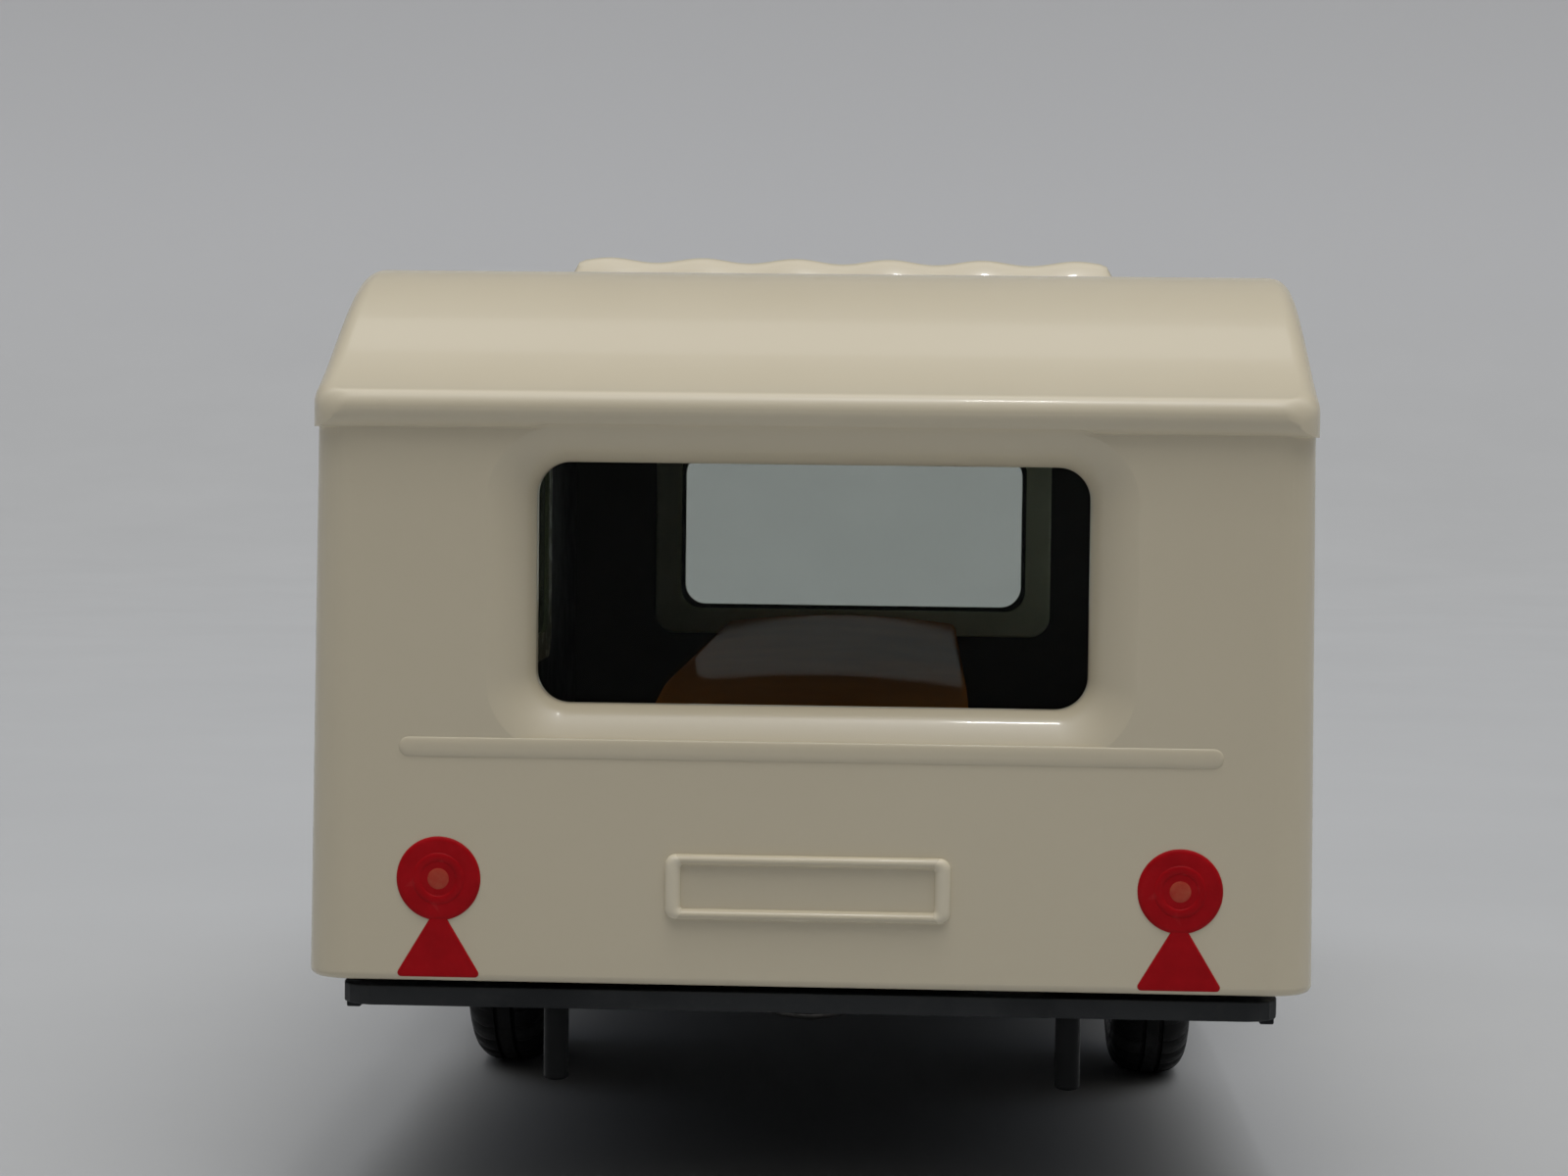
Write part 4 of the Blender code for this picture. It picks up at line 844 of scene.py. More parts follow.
def isCabinFace(face):
    past, centre = bodyValues["cabinPast"], face.center
    inside = abs(centre.x) < halfWidth - wall + past
    between = rearY + wall - past < centre.y < frontY - wall + past
    inset = min(centre.y - rearY, frontY - centre.y) + roofValues["lipOverhang"]
    ceiling = roofTop(max(inset, 0.0)) - roofValues["thickness"] + bodyValues["cabinPastTop"]
    return inside and between and centre.z < ceiling


def isPlateUpright(face):
    across, up = abs(face.center.x), face.center.z - bottomZ - plateValues["rise"]
    outer = plateValues["width"] / 2
    return (face.center.y < rearY - plateValues["levelProud"] and 0 < up < plateValues["height"]
            and outer - plateValues["sideBar"] < across < outer)


def makeBody():
    body = wallBlock()
    sideLength = frontY - rearY - 2 * beadValues["sideEnd"]
    steps = [("UNION", form) for form in (roofForm(), ribPanel(), plateFrame(), archBead(-1), archBead(1))]
    steps.append(("DIFFERENCE", cabinHollow()))
    steps += postSteps()
    steps += [("DIFFERENCE", windowCut(window)) for window in windowList()]
    steps.append(("UNION", waistBead("rear", 0.0, beadValues["rearLength"], beadValues["rearProud"])))
    for face in ("left", "right"):
        steps.append(("UNION", waistBead(face, middleY, sideLength, beadValues["sideProud"])))
    steps += [("DIFFERENCE", cut) for cut in (*doorCuts(), archCut(-1), archCut(1))]
    combine(body, steps)
    mesh = body.data
    mesh.materials.clear()
    for name in ("creamPaint", "paintedCabinShade", "uprightHighlightPaint"):
        mesh.materials.append(finishes[name])
    # faces inside the cabin get the painted shade
    for face in mesh.polygons:
        # the plate's uprights get the paler cream, a painted highlight
        face.material_index = 1 if isCabinFace(face) else 2 if isPlateUpright(face) else 0
    flareSides(body)
    finishPiece(body, "creamPaint", "caravan", ["body_shell"])
    print("body casting:", len(mesh.polygons), "faces")


makeBody()


# Side door: a flat leaf with a round hinge edge, a small window and a pull in a dish

handleValues = {"length": 1.5, "height": 0.6, "fromEdge": 0.6, "drop": 7.6, "proud": 0.05, "soft": 0.2,
                "endFlat": 0.01, "steps": 10, "dishLength": 2.1, "dishHeight": 1.1,
                # out from the wall, inset
                "dishLevels": ((1.0, 0.0), (0.0, 0.0), (-0.096, 0.06), (-0.16, 0.2))}


def doorSection(inset):
    # the leaf seen from above: round at the hinge, eased at the free edge
    v, half = doorValues, wall / 2 - inset
    edge = max(v["edge"] - inset, v["leastEdge"])
    free = doorLow.y + inset + edge
    points = arcPoints((hingeX, hingeY), half, 0, 180, v["hingeSteps"])
    points += arcPoints((hingeX - half + edge, free), edge, 180, 270, v["edgeSteps"])
    points += arcPoints((hingeX + half - edge, free), edge, 270, 360, v["edgeSteps"])
    return points


def doorWindow():
    up = doorTop - doorValues["windowDrop"] - doorValues["windowHeight"] / 2
    along = middle(doorLow.y, hingeY)
    return ("door", "right", along, up, doorValues["windowWidth"], doorValues["windowHeight"])


def doorLeaf():
    levels = easedEdge(doorValues["edge"], doorValues["edgeSteps"])
    stations = [(inset, doorBottom + rise) for inset, rise in levels]
    stations += [(inset, doorTop - rise) for inset, rise in reversed(levels)]
    return shape("doorLeaf", [levelled(doorSection(inset), [z])[0] for inset, z in stations])


def makeDoor():
    v, leaf = handleValues, doorLeaf()
    pin = circleLoop(doorValues["pinRadius"], (hingeX, hingeY), doorValues["pinSteps"])
    pinEnds = (doorBottom - doorValues["pinLength"], doorTop + doorValues["pinLength"])
    centre = (doorLow.y + v["fromEdge"] + v["dishLength"] / 2, doorTop - v["drop"])

    def oval(length, height, inset):
        high = height - 2 * inset
        return roundedLoop(length - 2 * inset, high, high / 2 - v["endFlat"], centre, v["steps"])

    def pullOutline(inset):
        return oval(v["length"], v["height"], inset)

    dish = [onFace("right", oval(v["dishLength"], v["dishHeight"], inset), out)
            for out, inset in v["dishLevels"]]
    pull = padLoops("right", pullOutline, wall / 2, v["proud"], v["soft"])
    steps = [("UNION", shape("pin", levelled(pin, pinEnds))),
             ("DIFFERENCE", windowCut(doorWindow(), doorValues["windowRound"])),
             ("DIFFERENCE", shape("dish", dish)),
             ("UNION", shape("pull", pull))]
    combine(leaf, steps)
    flareSides(leaf)
    finishPiece(leaf, "creamPaint", "door", ["door_panel"])
    print("door leaf:", len(leaf.data.polygons), "faces")


makeDoor()


# Panes: flat plates with eased edges, clear over the opening, and where they lie behind the wall a light
# olive margin that is painted glow of light carried through the plastic

glassValues = {"edge": 0.12, "edgeSteps": 4, "radius": 1.0, "clearPast": 0.2}
paneList = (
    ("rearPane", "rear_glazing", "rear", "caravan"),
    ("frontPane", "front_glazing", "front", "caravan"),
    ("leftPane", "left_glazing", "left", "caravan"),
    ("rightRearPane", "right_rear_glazing", "right", "caravan"),
    ("rightFrontPane", "right_front_glazing", "right", "caravan"),
    ("doorPane", "door_glazing", "right", "door"),
)


def paneOutline(low, high, inset):
    # low and high are the corners of the outline, as (along, up)
    size = [end - start - 2 * inset for start, end in zip(low, high)]
    return roundedLoop(*size, glassValues["radius"] - inset, [middle(*ends) for ends in zip(low, high)])


def makePane(name, node, face, body):
    low, high = nodeBox(node)
    ends = face in ("rear", "front")
    start, stop = (low.x, high.x) if ends else (low.y, high.y)
    thickness = (high.y - low.y) if ends else (high.x - low.x)
    margins = (windowValues["margin"], windowValues["topMargin"])
    if body == "door":
        margins = (doorValues["paneMargin"],) * 2
    side, top = (margin - glassValues["clearPast"] for margin in margins)
    corners = (start, low.z), (stop, high.z)
    clear = (start + side, low.z + side), (stop - side, high.z - top)
    outer = -wall - bodyValues["paneSeat"]
    inner = outer - thickness
    levels = easedEdge(glassValues["edge"], glassValues["edgeSteps"])
    outlines = [(outer, paneOutline(*clear, 0.0))]
    outlines += [(outer - rise, paneOutline(*corners, inset)) for inset, rise in levels]
    outlines += [(inner + rise, paneOutline(*corners, inset)) for inset, rise in reversed(levels)]
    outlines.append((inner, paneOutline(*clear, 0.0)))
    pane = shape(name, [onFace(face, outline, out) for out, outline in outlines])
    for finish in ("paneGlowRim", "clearPane"):
        pane.data.materials.append(finishes[finish])
    for patch in pane.data.polygons:  # the only faces with more than four corners are the clear ones
        patch.material_index = 1 if len(patch.vertices) > 4 else 0
    finishPiece(pane, "clearPane", body, [node])


for row in paneList:
    makePane(*row)
print("panes:", len(paneList))


# Low lamps on the rear wall: a round lamp with a pale middle over a small triangle

lampValues = {
    "spread": 11.26,  # either side of the middle
    "height": 10.97,
    "radius": 1.29,
    "steps": 72,
    "proud": 0.07,
    "soft": 0.16,
    "ringRadius": 0.66,
    "ringWidth": 0.26,
    "ringProud": 0.03,
    "ringSteps": 16,
    "dotRadius": 0.40,
    "dotProud": 0.09,
    "dotSoft": 0.5,  # share of its radius
    "dotSteps": 40,
    "triangleWidth": 2.68,
    "triangleHeight": 2.24,
    "triangleBase": 7.94,
    "triangleProud": 0.05,
    "triangleSoft": 0.08,
    "cornerRadius": 0.12,
    "cornerSteps": 6,
    "sink": 0.2,
}


def triangleLoop(centreX, inset):
    # an upright triangle with rounded corners; the inset draws it in towards its middle
    v = lampValues
    half, height, base = v["triangleWidth"] / 2, v["triangleHeight"], v["triangleBase"]
    inner = half * height / (half + math.hypot(half, height))  # radius of the circle that fits inside
    share = 1 - (inset + v["cornerRadius"]) / inner
    middleUp = base + inner
    lean = math.degrees(math.atan2(half, height))
    corners = ((half, base, -90, lean), (0.0, base + height, lean, 180 - lean),
               (-half, base, 180 - lean, 270))
    points = []
    for x, z, start, end in corners:
        centre = (centreX + x * share, middleUp + (z - middleUp) * share)
        points += arcPoints(centre, v["cornerRadius"], start, end, v["cornerSteps"])
    return points


def makeLamps():
    v = lampValues
    for name, side in (("left", -1), ("right", 1)):
        centre = (side * v["spread"], v["height"])

        def disc(inset):
            return circleLoop(v["radius"] - inset, centre, v["steps"])

        def dot(inset):
            return circleLoop(v["dotRadius"] - inset, centre, v["dotSteps"])

        def triangle(inset):
            return triangleLoop(centre[0], inset)

        ring = []
        for step in range(v["ringSteps"]):
            angle = 2 * math.pi * step / v["ringSteps"]
            reach = v["ringRadius"] + v["ringWidth"] / 2 * math.cos(angle)
            out = v["proud"] + v["ringProud"] * math.sin(angle)
            ring.append(onFace("rear", circleLoop(reach, centre, v["steps"]), out))
        lens = shape(name + "RearLamp", padLoops("rear", disc, v["sink"], v["proud"], v["soft"]))
        combine(lens, [("UNION", shape("ring", ring, closed=True))])
        spot = padLoops("rear", dot, -v["proud"] / 2, v["dotProud"], v["dotRadius"] * v["dotSoft"])
        mark = padLoops("rear", triangle, v["sink"], v["triangleProud"], v["triangleSoft"])
        finishPiece(lens, "lampRed", "caravan")
        finishPiece(shape(name + "LampMiddle", spot), "lampCentre", "caravan")
        finishPiece(shape(name + "RearTriangle", mark), "lampRed", "caravan")
    print("rear lamps and triangles made")


makeLamps()


# Interior moulding: floor, a bench along each side and a long table down the middle

interiorLow, interiorHigh = nodeBox("interior_moulding")
interiorValues = {
    "floor": 0.8,
    "benchTop": 3.3,
    "benchWidth": 2.8,
    "benchRound": 0.5,
    "benchSteps": 5,
    "cushionLength": 8.0,
    "cushionSeam": 0.35,
    "seamPower": 6,  # a higher power makes a narrower seam
    "tableWidth": 11.0,
    "tableAcross": -0.45,  # the table stands a little to the left
    "tableLift": 0.25,
    "tableRound": 0.35,
    "tableSteps": 6,
    "tableCrown": 0.35,
    "crownSteps": 6,  # from an edge to the middle
    "tableSlopeFrom": -19.0,  # nearer the rear than this the table falls away
    "tableSlopeEase": 3.0,
    "tableSlope": 0.085,
    "footRound": 0.3,
    "footSteps": 4,
    "endRound": 0.3,
    "endSteps": 4,
    "stations": 64,
}


def tableFall(y):
    ease, slope = interiorValues["tableSlopeEase"], interiorValues["tableSlope"]
    past = max(interiorValues["tableSlopeFrom"] - y, 0.0)
    if past < ease:
        return slope * past ** 2 / (2 * ease)
    return slope * (past - ease / 2)


def interiorLoop(y, inset):
    v = interiorValues
    base, half = interiorLow.z, interiorHigh.x - inset
    floor = base + v["floor"]
    seam = abs(math.sin(math.pi * (y - interiorLow.y) / v["cushionLength"]))
    bench = base + v["benchTop"] - inset - v["cushionSeam"] * (1 - seam) ** v["seamPower"]
    table = interiorHigh.z + v["tableLift"] - v["tableCrown"] - inset - tableFall(y)
    inner = interiorHigh.x - v["benchWidth"] + inset
    side = v["tableWidth"] / 2 - inset
    curve, top, foot = v["benchRound"], v["tableRound"], v["footRound"]
    flat = side - top
    benchSide = [(half, base + inset)]
    benchSide += arcPoints((half - curve, bench - curve), curve, 0, 90, v["benchSteps"])
    benchSide += arcPoints((inner + curve, bench - curve), curve, 90, 180, v["benchSteps"])
    benchSide += arcPoints((inner - foot, floor + foot), foot, 0, -90, v["footSteps"])
    tableSide = arcPoints((side + foot, floor + foot), foot, -90, -180, v["footSteps"])
    tableSide += arcPoints((flat, table - top), top, 0, 90, v["tableSteps"])
    crown = [flat * (1 - step / v["crownSteps"]) for step in range(1, 2 * v["crownSteps"])]
    tableTop = [(x, table + v["tableCrown"] * (1 - (x / flat) ** 2)) for x in crown]
    middlePart = tableSide + tableTop + [(-x, z) for x, z in reversed(tableSide)]
    outline = benchSide + [(x + v["tableAcross"], z) for x, z in middlePart]
    outline += [(-x, z) for x, z in reversed(benchSide)]
    return [(x, y, z) for x, z in outline]


def makeInterior():
    v = interiorValues
    low, high, curve = interiorLow.y, interiorHigh.y, v["endRound"]
    ends = easedEdge(curve, v["endSteps"])
    span = high - low - 2 * curve
    stations = [(low + rise, inset) for inset, rise in ends]
    stations += [(low + curve + span * step / v["stations"], 0.0) for step in range(1, v["stations"])]
    stations += [(high - rise, inset) for inset, rise in reversed(ends)]
    form = shape("interiorMoulding", [interiorLoop(y, inset) for y, inset in stations])
    finishPiece(form, "brownMoulding", "caravan", ["interior_moulding"])
    print("interior moulding:", len(form.data.polygons), "faces")


makeInterior()


# Wheels: a tyre with a blocked shoulder and a foil-pressed hub with five spokes

tyreValues = {
    "bore": 3.13,
    "boreEase": 0.3,
    "boreLip": 0.08,
    "shoulder": 1.0,
    "shoulderSteps": 8,
    "sideDip": 0.10,
    "outerDip": 0.7,  # share of the dip outside the ridge
    "ridgeRadius": 3.6,
    "ridgeWidth": 0.22,
    "ridgeFall": 0.02,
    "grooves": (-0.32, 0.32),
    "grooveWidth": 0.17,
    "grooveDepth": 0.17,
    "grooveFloor": 0.6,  # share of the width
    "blocks": 36,
    "blockDepth": 0.10,
    "blockReach": 0.75,  # share of the shoulder
    "blockPast": 0.06,
    "steps": 180,
    "sharpAngle": 50.0,
}
hubValues = {
    "radius": 3.1,
    "rim": 0.5,
    "dish": 0.7,
    "boss": 1.3,
    "bore": 0.8,
    "spokes": 5,
    "spokeRise": 0.42,
    "spokeShift": 0.35,
    "spokeBlend": 0.7,
    "spokeStations": (0.04, 0.15, 0.3, 0.5, 0.7, 0.85, 0.96),  # shares of the way from rim to boss
    "ease": 0.1,
    "easeSoft": 0.3,
    "easeDeep": 1.5,
    "steps": 160,
    "sharpAngle": 50.0,
}


def tyreProfile(outer, half):
    # (radius, out along the axle), from the bore over the tread and back
    v = tyreValues
    ridge, width, dip, corner = v["ridgeRadius"], v["ridgeWidth"], v["sideDip"], v["shoulder"]
    side = [(v["bore"], half - v["boreEase"]), (v["bore"] + v["boreLip"], half - dip),
            (ridge - width, half - dip), (ridge - width / 2, half - v["ridgeFall"]), (ridge, half),
            (ridge + width / 2, half - v["ridgeFall"]), (ridge + width, half - dip * v["outerDip"])]
    for sine, cosine in quarterTurn(v["shoulderSteps"]):
        side.append((outer - corner + corner * sine, half - corner + corner * cosine))
    edge, deep = v["grooveWidth"] / 2, outer - v["grooveDepth"]
    floor = edge * v["grooveFloor"]
    tread = []
    for groove in reversed(v["grooves"]):
        tread += [(outer, groove + edge), (deep, groove + floor),
                  (deep, groove - floor), (outer, groove - edge)]
    return side + tread + [(radius, -out) for radius, out in reversed(side)]


def makeTyre(name, node, body, side):
    v = tyreValues
    low, high = nodeBox(node)
    outer, half = (high.z - low.z) / 2, (high.x - low.x) / 2
    wheelX = abs(middle(low.x, high.x))
    perBlock = v["steps"] // v["blocks"]
    loops = []
    for radius, out in tyreProfile(outer, half):
        onShoulder = (radius > outer - v["shoulder"] * v["blockReach"]
                      and abs(out) > half - v["shoulder"] - v["blockPast"])
        loop = []
        for step in range(v["steps"]):
            cut = v["blockDepth"] if onShoulder and step % perBlock == 0 else 0.0
            loop.append(aroundAxle(side * (wheelX + out), radius - cut, 2 * math.pi * step / v["steps"]))
        loops.append(loop)
    finishPiece(shape(name, loops, closed=True), "tyreBlack", body, [node], v["sharpAngle"])


def spokeShare(angle):
    share = (math.cos(hubValues["spokes"] * angle) + hubValues["spokeShift"]) / hubValues["spokeBlend"]
    share = min(max(share, 0.0), 1.0)
    return share * share * (3 - 2 * share)


def makeHub(name, node, body, side):
    v = hubValues
    low, high = nodeBox(node)
    face = (high.x - low.x) / 2
    wheelX = abs(middle(low.x, high.x))
    outer, inner, boss, bore = v["radius"], v["radius"] - v["rim"], v["boss"], v["bore"]
    ease, soft, deep = v["ease"], v["ease"] * v["easeSoft"], face - v["ease"] * v["easeDeep"]
    rim = [(outer, -face), (outer, face - ease), (outer - soft, face - soft), (outer - ease, face),
           (inner + ease, face), (inner + soft, face - soft), (inner, deep)]
    hole = [(boss, deep), (boss - soft, face - soft), (boss - ease, face), (bore, face), (bore, -face)]
    stations = [(*point, 0.0) for point in rim]
    stations += [(inner - (inner - boss) * share, face - v["dish"], v["spokeRise"])
                 for share in v["spokeStations"]]
    stations += [(*point, 0.0) for point in hole]
    loops = []
    for radius, out, rise in stations:
        loop = []
        for step in range(v["steps"]):
            angle = 2 * math.pi * step / v["steps"]
            loop.append(aroundAxle(side * (wheelX + (out + rise * spokeShare(angle))), radius, angle))
        loops.append(loop)
    finishPiece(shape(name, loops, closed=True), "hubFoil", body, [node], v["sharpAngle"])


for name, side in (("left", -1), ("right", 1)):
    makeTyre(name + "Tyre", name + "_tyre", name + "_wheel", side)
    makeHub(name + "Hub", name + "_hub", name + "_wheel", side)
print("wheels made")


# Turned pieces: axle, rivets, steadies and the stand. Pairs are steps (out, up) from a corner of the profile.

turnedValues = {"steps": 64, "domeSteps": 6, "crownShare": 0.04, "knobFlutes": 16, "flute": 0.07}


def turnedPiece(name, profile, place, finish, node, flutes=None):
    # profile is (radius, height) from one end to the other; place(radius, height, angle) gives the point
    loops = []
    for radius, height in profile:
        loop = []
        for step in range(turnedValues["steps"]):
            angle = 2 * math.pi * step / turnedValues["steps"]
            reach = radius
            if flutes and flutes[0] < height < flutes[1]:
                reach -= turnedValues["flute"] * max(0.0, math.cos(turnedValues["knobFlutes"] * angle))
            loop.append(place(reach, height, angle))
        loops.append(loop)
    return finishPiece(shape(name, loops), finish, "caravan", [node])


def upright(x, y):
    def place(radius, height, angle):
        return (x + radius * math.cos(angle), y + radius * math.sin(angle), height)
    return place


def alongAxle(radius, height, angle):
    return aroundAxle(height, radius, angle)


def cornerSteps(radius, height, steps):
    return [(radius + out, height + up) for out, up in steps]


def domed(radius, start, end):
    # a shallow dome from its rim at start to its crown at end
    turns = quarterTurn(turnedValues["domeSteps"])[:-1]
    points = [(radius * cosine, start + (end - start) * sine) for sine, cosine in turns]
    return points + [(radius * turnedValues["crownShare"], end)]


axleValues = {"radius": 0.6, "head": 0.35, "ease": 0.06}


def makeAxle():
    radius, ease = axleValues["radius"], axleValues["ease"]
    head = (axleHigh.z - axleLow.z) / 2
    inner = axleHigh.x - axleValues["head"]
    half = [(radius, 0.0), (radius, inner), (head - ease, inner), (head, inner + ease)]
    half += domed(head, inner + ease * 2, axleHigh.x)
    profile = [(reach, -out) for reach, out in reversed(half)] + half[1:]
    turnedPiece("axleRod", profile, alongAxle, "axleSteel", "axle")


rivetValues = {"radius": 0.7, "head": 0.5, "tip": 0.7, "tipEase": 0.2, "rimEase": 0.08, "domeFrom": 0.12,
               "domeTo": 0.06, "rimShare": 0.4,
               "dimple": ((0.34, 0.02), (0.28, 0.10), (0.04, 0.12))}  # share of the head's radius, rise


def makeRivets():
    v, shank = rivetValues, rivetValues["radius"]
    for name, node in (("rearRivet", "rear_rivet"), ("frontRivet", "front_rivet")):
        low, high = nodeBox(node)
        head = (high.x - low.x) / 2
        headTop = low.z + v["head"]
        profile = [(shank * v["tip"], high.z), (shank, high.z - v["tipEase"]), (shank, headTop),
                   (head - v["rimEase"], headTop)]
        dome = domed(head, headTop - v["domeFrom"], low.z + v["domeTo"])
        profile += [point for point in dome if point[0] > head * v["rimShare"]]
        profile += [(head * share, low.z + rise) for share, rise in v["dimple"]]
        turnedPiece(name, profile, upright(0, middle(low.y, high.y)), "rivetSteel", node)


steadyValues = {
    "radius": 0.4, "flange": 0.5, "shoulder": 0.8, "tip": 0.8, "tipEase": 0.1, "foot": 0.14,
    "flangeTop": ((-0.08, 0.0), (0.0, -0.08)),
    "flangeFoot": ((0.0, 0.12), (-0.12, 0.0)),
    "neck": ((0.1, -0.02), (0.0, -0.14)),
}


def makeSteadies():
    v, leg = steadyValues, steadyValues["radius"]
    for name, node in (("leftRearSteady", "left_rear_steady"), ("rightRearSteady", "right_rear_steady")):
        low, high = nodeBox(node)
        flange = (high.x - low.x) / 2
        flangeTop, foot = high.z - v["shoulder"], low.z + v["foot"]
        flangeLow = flangeTop - v["flange"]
        profile = [(leg * v["tip"], high.z), (leg, high.z - v["tipEase"]), (leg, flangeTop)]
        profile += cornerSteps(flange, flangeTop, v["flangeTop"])
        profile += cornerSteps(flange, flangeLow, v["flangeFoot"])
        profile += cornerSteps(leg, flangeLow, v["neck"]) + [(leg, foot)] + domed(leg, foot, low.z)
        place = upright(middle(low.x, high.x), middle(low.y, high.y))
        # the steadies take the darker copy of the plastic, as painted shade
        turnedPiece(name, profile, place, "underShadePlastic", node)


standValues = {
    "radius": 0.7, "collar": 1.2, "collarGap": 0.2, "knob": 1.2, "knobHeight": 1.6, "sole": 0.05,
    "fluteFoot": 0.1, "fluteTop": 0.3,
    "knobTop": ((-0.4, 0.0), (-0.12, -0.12), (0.0, -0.4)),
    "knobFoot": ((0.0, 0.12), (-0.1, 0.0)),
    "collarEdge": ((-0.08, 0.0), (0.0, -0.08), (0.0, -0.5), (-0.1, -0.6)),
    "neck": ((0.08, -0.62), (0.0, -0.75)),
    "flare": ((0.0, 1.5), (0.12, 1.2), (0.4, 0.95)),  # up from the ground, as for the foot
    "footEdge": ((-0.25, 0.66), (-0.06, 0.55), (0.0, 0.42), (0.0, 0.08), (-0.08, 0.0)),
}


def makeStand():
    v = standValues
    low, high = nodeBox("jockey_stand")
    foot = (high.x - low.x) / 2
    stem, collar, knob = v["radius"], v["collar"], v["knob"]
    knobLow = high.z - v["knobHeight"]
    collarTop = nodeBox("drawbar")[0].z - v["collarGap"]
    profile = [(knob * turnedValues["crownShare"], high.z)] + cornerSteps(knob, high.z, v["knobTop"])
    profile += cornerSteps(knob, knobLow, v["knobFoot"]) + [(stem, knobLow), (stem, collarTop)]
    profile += cornerSteps(collar, collarTop, v["collarEdge"]) + cornerSteps(stem, collarTop, v["neck"])
    profile += cornerSteps(stem, 0.0, v["flare"]) + cornerSteps(foot, 0.0, v["footEdge"]) + [(v["sole"], 0.0)]
    turnedPiece("jockeyStand", profile, upright(0, middle(low.y, high.y)), "darkPlastic",
                "jockey_stand", (knobLow + v["fluteFoot"], high.z - v["fluteTop"]))


makeAxle()
makeRivets()
makeSteadies()
makeStand()
print("turned pieces made")


# Base plate, keeper and drawbar keep their solid shapes, with eased edges

easedValues = {"weld": 0.002, "width": 0.1, "segments": 3, "angle": 35.0}


def easeNode(name, finish):
    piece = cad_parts[name]
    weld = piece.modifiers.new("weld", "WELD")
    weld.merge_threshold = easedValues["weld"] * mm
    ease = piece.modifiers.new("ease", "BEVEL")
    ease.width = easedValues["width"] * mm
    ease.segments = easedValues["segments"]
    ease.limit_method = "ANGLE"
    ease.angle_limit = math.radians(easedValues["angle"])
    facing = piece.modifiers.new("facing", "WEIGHTED_NORMAL")
    facing.keep_sharp = True
    piece.data.materials.clear()
    piece.data.materials.append(finishes[finish])


for name in ("chassis_plate", "axle_keeper", "drawbar"):
    easeNode(name, "darkPlastic")
print("base plate, keeper and drawbar eased")


# Stage and light

stageValues = {"half": 1600.0, "near": -1200.0, "bendStart": 350.0, "bendRadius": 650.0, "top": 1500.0,
               "bendSteps": 40}
stageFinish = {
    "colour": (0.505, 0.515, 0.528), "shade": (0.487, 0.497, 0.51), "mottleSize": 30.0,
    "dust": 0.05, "dustColour": (0.48, 0.48, 0.48), "wearAndHighlight": 0.0, "wearAndHighlightColour": (0.5, 0.5, 0.5),
    "roughness": (0.75, 0.9), "skinSize": 0.5, "bump": 0.25, "bumpHeight": 0.05,
    "fixed": {"Specular IOR Level": 0.0},
    "high": (0.535, 0.545, 0.568), "highFrom": 0.0, "highTo": 90.0,  # paler and cooler higher up
}


def makeStageFinish():
    finish = makeFinish("paleFloor", stageFinish)
    nodes, links = finish.node_tree.nodes, finish.node_tree.links
    base = nodes["Principled BSDF"].inputs["Base Color"]
    split = nodes.new("ShaderNodeSeparateXYZ")
    links.new(nodes.new("ShaderNodeTexCoord").outputs["Object"], split.inputs["Vector"])
    ends = (stageFinish["highFrom"] * mm, stageFinish["highTo"] * mm)
    share = addRange(nodes, links, split.outputs["Z"], *ends, 0.0, 1.0)
    links.new(addMix(nodes, links, share, base.links[0].from_socket, stageFinish["high"]), base)
    return finish


def makeStage():
    radius, start = stageValues["bendRadius"], stageValues["bendStart"]
    profile = [(stageValues["near"], 0.0)]
    profile += arcPoints((start, radius), radius, -90, 0, stageValues["bendSteps"])
    profile.append((start + radius, stageValues["top"]))
    bm = bmesh.new()
    rows = []
    for y, z in profile:
        rows.append([bm.verts.new((x * stageValues["half"], y, z)) for x in (-1, 1)])
    for low, high in zip(rows, rows[1:]):
        bm.faces.new((low[0], low[1], high[1], high[0]))
    floor = asObject("floor", bm)
    floor.data.transform(Matrix.Scale(mm, 4))
    floor.data.shade_smooth()
    floor.data.materials.append(makeStageFinish())


# The sky has a warm bright part overhead, a little towards the camera and to the right, given by the cosine
# of the angle from its middle, and a cool dim half behind, given by height. What is seen or mirrored of it is
# as pale as the backdrop.

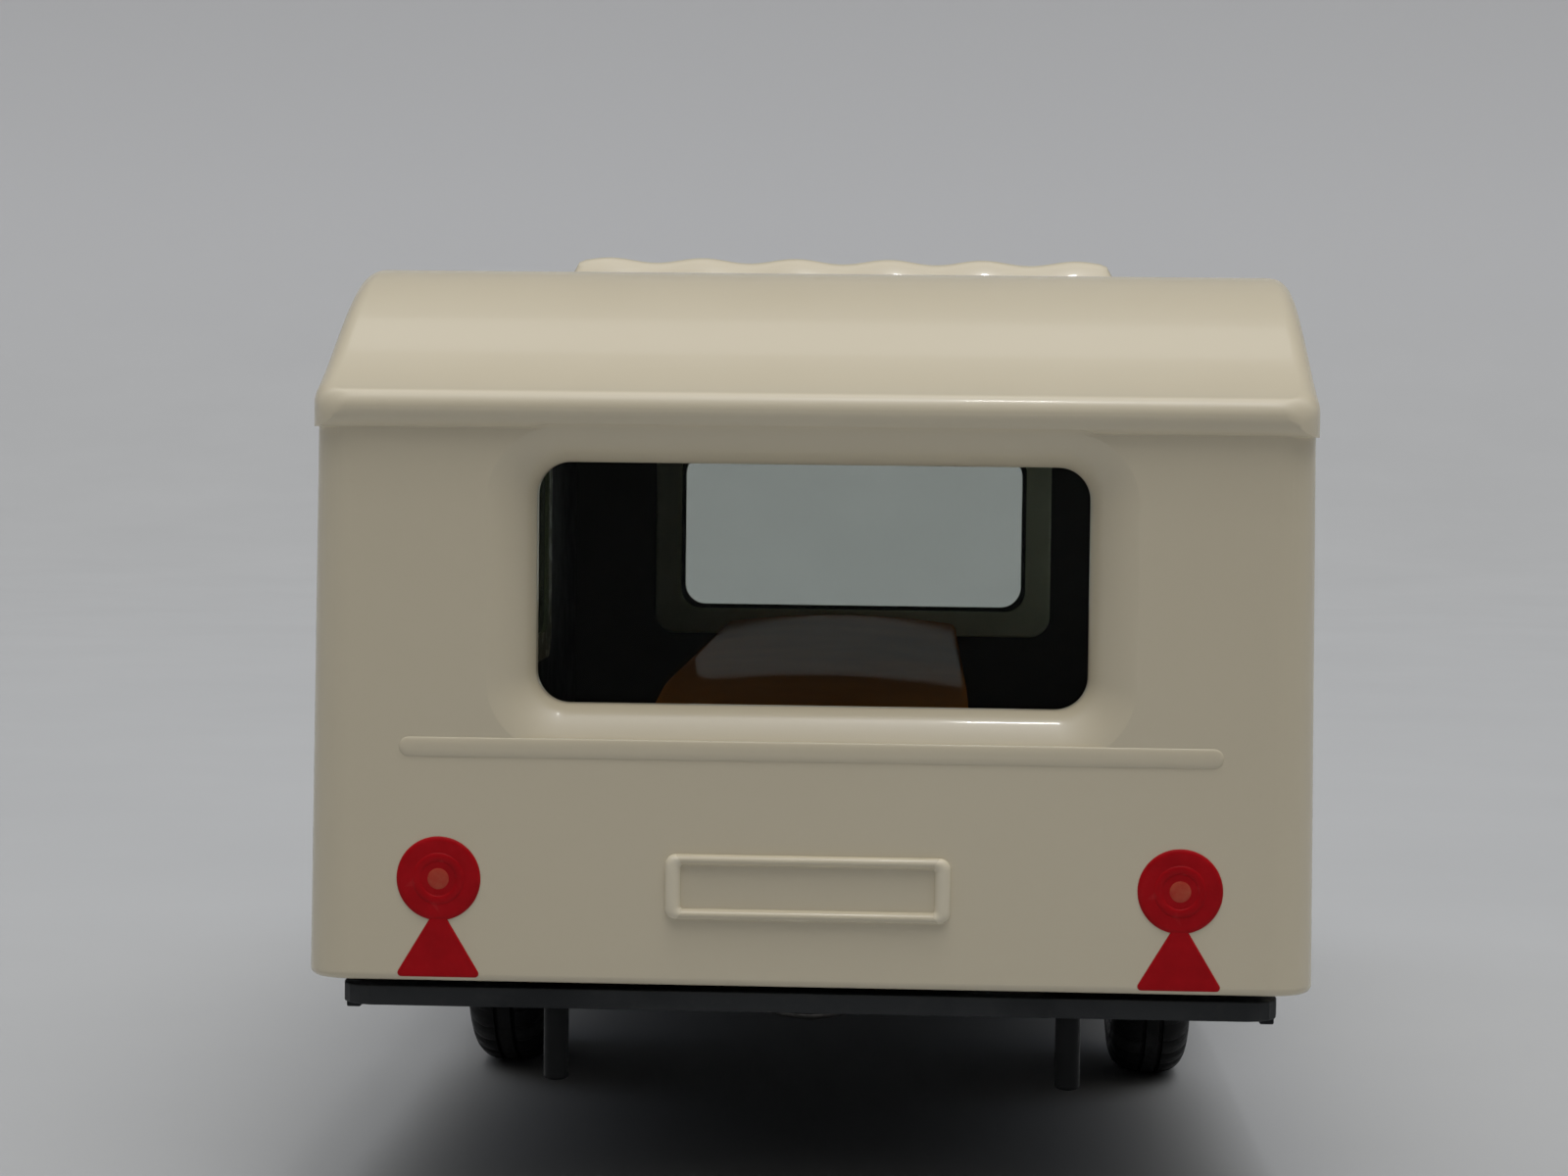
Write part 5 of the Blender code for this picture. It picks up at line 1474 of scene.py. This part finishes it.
lightValues = {
    "overhead": (0.06, -0.207, 0.976),
    "overheadSky": ((0.3, (0.0, 0.0, 0.0)), (0.5, (0.045, 0.043, 0.039)), (0.64, (0.11, 0.105, 0.096)),
                    (0.77, (0.27, 0.26, 0.235)), (0.866, (0.77, 0.74, 0.68)), (0.906, (1.33, 1.29, 1.22)),
                    (0.94, (2.1, 2.07, 2.0)), (0.966, (3.1, 3.07, 3.02)), (0.985, (4.2, 4.18, 4.18)),
                    (1.0, (5.3, 5.3, 5.35))),
    "behindSky": ((0.0, (0.004, 0.004, 0.004)), (0.36, (0.02, 0.022, 0.025)), (0.55, (0.30, 0.33, 0.38)),
                  (0.8, (0.42, 0.46, 0.54)), (1.0, (0.25, 0.28, 0.33))),
    "seenSky": ((0.0, (0.41, 0.415, 0.42)), (0.3, (0.41, 0.415, 0.42)), (0.5, (0.45, 0.455, 0.46)),
                (0.7, (0.75, 0.76, 0.77)), (1.0, (1.4, 1.4, 1.4))),
    "behindFrom": -0.35,
    "behindTo": 0.35,
    "spark": {"place": (20, -115, 480), "aim": (0, -38, 25), "size": (18, 12), "power": 0.075},
}


def makeSky():
    world = bpy.data.worlds.new("studio")
    scene.world = world
    world.use_nodes = True
    nodes, links = world.node_tree.nodes, world.node_tree.links
    toward = nodes.new("ShaderNodeTexCoord").outputs["Generated"]
    split = nodes.new("ShaderNodeSeparateXYZ")
    links.new(toward, split.inputs["Vector"])
    facing = nodes.new("ShaderNodeVectorMath")
    facing.operation = "DOT_PRODUCT"
    links.new(toward, facing.inputs[0])
    facing.inputs[1].default_value = lightValues["overhead"]
    overhead = addRamp(nodes, links, facing.outputs["Value"], lightValues["overheadSky"])
    behind, seen = (addRamp(nodes, links, split.outputs["Z"], lightValues[key])
                    for key in ("behindSky", "seenSky"))
    share = addRange(nodes, links, split.outputs["Y"], lightValues["behindFrom"], lightValues["behindTo"],
                     0.0, 1.0)
    both = nodes.new("ShaderNodeMix")
    both.data_type = "RGBA"
    both.blend_type = "ADD"
    for socket, source in ((0, share), (6, overhead), (7, behind)):
        links.new(source, both.inputs[socket])
    path = nodes.new("ShaderNodeLightPath").outputs
    looking = addMath(nodes, links, "MAXIMUM", path["Is Camera Ray"], path["Is Transmission Ray"])
    looking = addMath(nodes, links, "MAXIMUM", looking, path["Is Glossy Ray"])
    links.new(addMix(nodes, links, looking, both.outputs[2], seen), nodes["Background"].inputs["Color"])


def makeLight():
    makeSky()
    values = lightValues["spark"]
    data = bpy.data.lights.new("spark", "AREA")
    data.shape = "RECTANGLE"
    data.size, data.size_y = (side * mm for side in values["size"])
    data.energy = values["power"]
    lamp = bpy.data.objects.new("spark", data)
    place, aim = Vector(values["place"]), Vector(values["aim"])
    lamp.location = place * mm
    lamp.rotation_euler = (aim - place).to_track_quat("-Z", "Y").to_euler()
    scene.collection.objects.link(lamp)
    scene.view_settings.view_transform = "Standard"


makeCamera()
makeStage()
makeLight()
